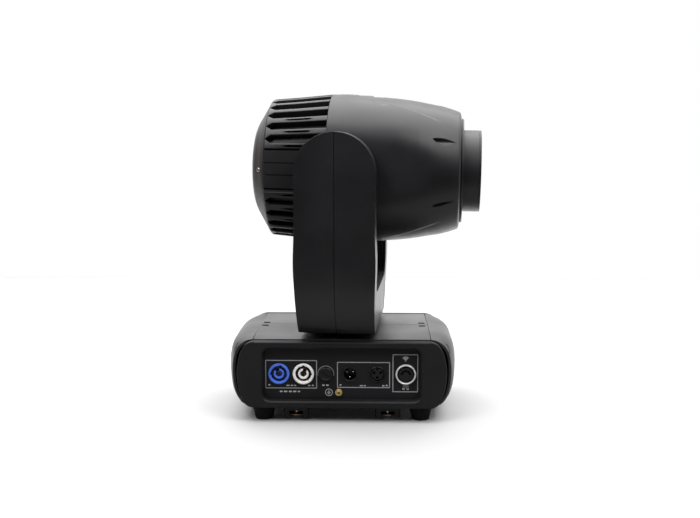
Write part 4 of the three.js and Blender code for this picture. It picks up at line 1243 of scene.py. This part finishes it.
place_print("wireless_mark", arcs(78.0, 57.6, (1.9, 3.5, 5.1), radians(45), radians(135), 0.95) + [prism("dot", [(78 + 0.7 * cos(i * pi / 8), 57.7 + 0.7 * sin(i * pi / 8)) for i in range(16)], SY, SY + 0.3, "y")], SILK_BRIGHT)
ringp = arcs(-15.8, 17.9, (4.3,), 0, 2 * pi * 0.999, 0.8)
place_print("ground_mark", ringp + [bar(-15.8, 18.0, 4.6, 0.8), bar(-15.8, 16.7, 3.0, 0.8), bar(-15.8, 15.5, 1.4, 0.8), prism("st", [(-16.2, 18.2), (-15.4, 18.2), (-15.4, 20.9), (-16.2, 20.9)], SY, SY + 0.3, "y")], SILK_BRIGHT)
# painted highlight: a thin bright arc over the upper half of the fuse rim, laid on the panel as print
place_print("fuse_painted_highlight_arc", arcs(XF, CZ, (9.9,), radians(-12), radians(192), 0.7))

# ----- display side
o = block("display_bezel", -34, 34, PY + 0.0, PY + 1.7, 33, 71, 0.0)
boo(o, prism("cut", round_rect(-28, 28, 38, 66, 2, 4), PY + 0.9, PY + 4, "y"))
soften(o, 0.45, 2, 40)
place(o, M_BASE, PLASTIC, "base", ["display_window"])
o = prism("display_glass", round_rect(-27.8, 27.8, 38.2, 65.8, 1.8, 4), PY + 0.8, PY + 1.15, "y", bevel=0.12)
place(o, M_BASE, SCREEN, "base", ())
# painted glow: the display segments are a bright blue colour that stands for lit segments; nothing here emits light
DISPLAY_PAINTED_GLOW = moulded("display_painted_glow", (0.20, 0.42, 0.55), rough=0.35, grain=900, bump=0.02, spread=0.1)
ds = []
for r_ in range(3):
    for c_ in range(4):
        w_ = (9.5, 6.5, 8.0, 5.0)[(c_ + r_) % 4]
        ds.append(prism("seg", round_rect(-24 + 12.4 * c_, -24 + 12.4 * c_ + w_, 58.5 - 7.6 * r_, 60.3 - 7.6 * r_, 0.5, 3), PY + 1.1, PY + 1.22, "y"))
o = merge("display_rows", ds)
place(o, M_BASE, DISPLAY_PAINTED_GLOW, "base", (), weighted=False)
BUTTON = moulded("button_plastic", (0.03, 0.03, 0.032), rough=0.42, grain=900, bump=0.06)
for i, x in enumerate(BX):
    s = revolve("key_%d" % (i + 1), curve_round([(0, -9), (3, -9, 0.2), (3, 2.6, 0.8), (2.2, 3.5, 0.8), (0.9, 3.25, 0.4), (0, 3.2)], 0.3, 4, closed=False), 40, "z")
    turn(s, Matrix.Translation((x, PY, 25)) @ Matrix.Rotation(radians(-90), 4, "X"))
    place(s, M_BASE, BUTTON, "menu_button_%d" % (i + 1), ["menu_button_%d" % (i + 1)])
SYB = PY - 0.2 - 0.1
dd = []
for i, x in enumerate(BX):
    a = [(x - 1.6, 32.4 - 2), (x + 1.6, 32.4 - 2), (x, 32.4 + 0.4)]
    R = Matrix.Rotation(radians((90, 180, 0, -90)[i]), 2)
    c = Vector((x, 31.2))
    a = [tuple(c + R @ (Vector(p) - c)) for p in a]
    dd.append(prism("t", a, SYB, SYB + 0.3, "y"))
o = merge("key_marks", dd)
place(o, M_BASE, SILK_BRIGHT, "base", (), weighted=False)
k = 0
for x in (-90, 90):
    for z in (20, 66):
        k += 1
        screw("display_panel_screw_%d" % k, (x, PY - 0.2, z), (0, 1, 0), 2.6, M_BASE, "base", mat=DARKSTEEL, head=1.2)

# ----- feet, receptacles and the underside
for i, (sx, sy) in enumerate(((-1, -1), (1, -1), (-1, 1), (1, 1))):
    prof = curve_round([(0, -16.2), (2.6, -16.2, 0.2), (2.6, -18.5, 0.3), (10.2, -18.5, 0.6), (11.0, -17.6, 0.5), (12.1, -12.0, 0.3), (14.3, -4.2, 0.8), (14.3, -0.4, 0.5), (0, -0.4)], 0.3, 4, closed=False)
    s = revolve("foot_%d" % (i + 1), prof, 64, "z")
    # fine ring grooves on the sole
    boo(s, merge("cut", [revolve("cut", (lambda L: L + [L[0]])([(r0, -19), (r0 + 0.7, -19), (r0 + 0.7, -17.9), (r0, -17.9)]), 64, "z") for r0 in (4.6, 6.6, 8.6)]))
    turn(s, Matrix.Translation((sx * 97, sy * 70, 0)))
    place(s, M_BASE, RUBBER, "base", ["rubber_foot_%d" % (i + 1)])
    screw("foot_screw_%d" % (i + 1), (sx * 97, sy * 70, -16.1), (0, 0, -1), 2.0, M_BASE, "base", head=1.0)
    # receptacle for a bracket: side cheeks, a copper dish and a bright stud
    cx, cy = sx * 56.5, sy * 71
    body = prism("r", round_rect(-15.5, 15.5, -11, 11, 3, 4), -14.4, -0.4, "z", bevel=0.6)
    boo(body, prism("cut", round_rect(-9.3, 9.3, -9.3, 9.3, 2.5, 4), -20, -3.2, "z"))
    boo(body, block("cut", -8.6, 8.6, -20 if sy < 0 else 0, 0 if sy < 0 else 20, -20, -6.4))
    turn(body, Matrix.Translation((cx, cy, 0)))
    body.name = "receptacle_%d" % (i + 1)
    place(body, M_BASE, PLASTIC, "base", ["bracket_receptacle_%d" % (i + 1)])
    L_ = curve_round([(3.2, -14.2, 0.1), (6.6, -14.2, 0.8), (8.3, -12.6, 0.5), (8.6, -11.5, 0.1), (8.0, -11.5, 0.1), (7.6, -12.4, 0.5), (6.2, -13.3, 0.6), (3.2, -13.3, 0.1)], 0.2, 3)
    s = revolve("receptacle_dish_%d" % (i + 1), L_ + [L_[0]], 64, "z", at=(cx, cy, 0))
    place(s, M_BASE, COPPER, "base", ())
    s = revolve("receptacle_stud_%d" % (i + 1), curve_round([(0, -14.6), (2.2, -14.6, 0.4), (3.0, -13.8, 0.3), (3.0, -12.9, 0.3), (1.7, -12.4, 0.3), (1.7, -11.2, 0.3), (3.0, -10.2, 0.8), (3.0, -8.4, 0.9), (1.9, -7.4, 0.4), (1.9, -3.1), (0, -3.1)], 0.3, 4, closed=False), 40, "z", at=(cx, cy, 0))
    place(s, M_BASE, PIN, "base", ())
k = 0
for x, y in ((-80, 0), (80, 0), (-30, -66), (30, -66), (-30, 66), (30, 66)):
    k += 1
    screw("tray_screw_%d" % k, (x, y, 0.55), (0, 0, -1), 2.8, M_BASE, "base", head=1.2)

# ------------------------------------------------------------------ materials of the CAD nodes that stay
for node, mat in (("base_tray", moulded("tray_paint", (0.012, 0.012, 0.0125), rough=0.5, grain=1600, bump=0.25)), ("power_supply", ALU), ("control_board", PCB),
                  ("pan_pulley", ALU), ("yoke_frame", STEEL), ("pan_motor", DARKSTEEL), ("pan_motor_pulley", ALU), ("pan_belt", RUBBER),
                  ("tilt_motor", DARKSTEEL), ("tilt_motor_pulley", ALU), ("tilt_belt", RUBBER), ("head_chassis", STEEL), ("drive_trunnion", ALU),
                  ("idle_trunnion", ALU), ("tilt_pulley", ALU), ("light_engine", ALU), ("colour_wheel", brushed("dichroic_wheel", (0.35, 0.42, 0.62), rough=0.2)),
                  ("gobo_wheel", STEEL), ("wheel_motor_bracket", STEEL), ("focus_carriage", DARKSTEEL), ("fan_frame", PLASTIC), ("fan_rotor", PLASTIC)):
    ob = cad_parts[node]
    if not ob.material_slots:
        ob.data.materials.append(mat)
    for s_ in ob.material_slots:
        s_.material = mat

# ------------------------------------------------------------------ floor and light
floor_z = -0.0185
bm = bmesh.new()
bmesh.ops.create_grid(bm, x_segments=12, y_segments=12, size=0.5)
for v in bm.verts:
    v.co.x *= 1.9
    v.co.y = -0.46 + (v.co.y + 0.5) * 1.5
me = bpy.data.meshes.new("studio_floor")
bm.to_mesh(me)
bm.free()
floor = link("studio_floor", me)
floor.location = (0, 0, floor_z)
fm = bpy.data.materials.new("studio_floor_paper")
fm.use_nodes = True
nt = fm.node_tree
b = nt.nodes["Principled BSDF"]
b.inputs["Roughness"].default_value = 0.9
b.inputs["Specular IOR Level"].default_value = 0.1
tc = _n(nt, "ShaderNodeTexCoord")
no = _n(nt, "ShaderNodeTexNoise")
no.inputs["Scale"].default_value = 3.0
nt.links.new(tc.outputs["Object"], no.inputs["Vector"])
cr = _n(nt, "ShaderNodeValToRGB")
cr.color_ramp.elements[0].color = (0.49, 0.49, 0.49, 1)
cr.color_ramp.elements[1].color = (0.51, 0.51, 0.51, 1)
nt.links.new(no.outputs["Fac"], cr.inputs["Fac"])
# the paper bounces less light than it shows, so the black plastic keeps its depth
lp = _n(nt, "ShaderNodeLightPath")
fmix = _n(nt, "ShaderNodeMix", data_type="RGBA")
sep = _n(nt, "ShaderNodeSeparateXYZ")
nt.links.new(tc.outputs["Object"], sep.inputs["Vector"])
back = _n(nt, "ShaderNodeMapRange", interpolation_type="SMOOTHSTEP")
back.inputs["From Min"].default_value = -0.02
back.inputs["From Max"].default_value = 0.30
back.inputs["To Min"].default_value = 0.27
back.inputs["To Max"].default_value = 0.85
nt.links.new(sep.outputs["Y"], back.inputs["Value"])
nt.links.new(back.outputs["Result"], fmix.inputs["A"])
nt.links.new(lp.outputs["Is Camera Ray"], fmix.inputs["Factor"])
nt.links.new(cr.outputs["Color"], fmix.inputs["B"])
nt.links.new(fmix.outputs["Result"], b.inputs["Base Color"])
floor.data.materials.append(fm)


def area(name, loc, target, sx, sy, power, color=(1, 1, 1), cam_vis=False):
    L = bpy.data.lights.new(name, "AREA")
    L.shape = "RECTANGLE"
    L.size, L.size_y = sx, sy
    L.energy = power
    L.color = color
    o = bpy.data.objects.new(name, L)
    bpy.context.scene.collection.objects.link(o)
    o.location = loc
    o.rotation_euler = (Vector(target) - Vector(loc)).to_track_quat("-Z", "Y").to_euler()
    o.visible_camera = cam_vis
    return o


w = bpy.data.worlds.new("studio")
bpy.context.scene.world = w
w.use_nodes = True
nt = w.node_tree
nt.nodes.clear()
out = nt.nodes.new("ShaderNodeOutputWorld")
lp = nt.nodes.new("ShaderNodeLightPath")
b1 = nt.nodes.new("ShaderNodeBackground")
b1.inputs["Color"].default_value = (1, 1, 1, 1)
b1.inputs["Strength"].default_value = 0.06
b2 = nt.nodes.new("ShaderNodeBackground")
b2.inputs["Color"].default_value = (1, 1, 1, 1)
b2.inputs["Strength"].default_value = 1.0
mx = nt.nodes.new("ShaderNodeMixShader")
nt.links.new(lp.outputs["Is Camera Ray"], mx.inputs["Fac"])
nt.links.new(b1.outputs["Background"], mx.inputs[1])
nt.links.new(b2.outputs["Background"], mx.inputs[2])
nt.links.new(mx.outputs["Shader"], out.inputs["Surface"])

def panel_light(name, loc, target, sx, sy, radiance, color=(1, 1, 1)):
    return area(name, loc, target, sx, sy, radiance * pi * sx * sy, color)


panel_light("overhead", (0.0, 0.40, 1.6), (0, 0.25, 0.2), 2.4, 1.9, 5.3)
panel_light("back_panel", (0.0, 2.0, 0.75), (0, 0, 0.75), 3.4, 1.9, 1.8)
panel_light("right_strip", (1.35, 0.95, 0.42), (0, 0, 0.15), 0.7, 0.8, 2.0)
panel_light("left_soft", (-1.5, 0.35, 0.5), (0, 0, 0.20), 0.7, 1.0, 0.8, (1.0, 0.96, 0.93))
panel_light("front_left", (-0.90, -1.0, 1.50), (0, -0.1, 0.12), 1.0, 0.9, 6.3)
panel_light("front_right", (0.95, -0.95, 1.50), (0, -0.1, 0.12), 1.0, 0.9, 6.7)
bpy.context.scene.view_settings.view_transform = "Standard"
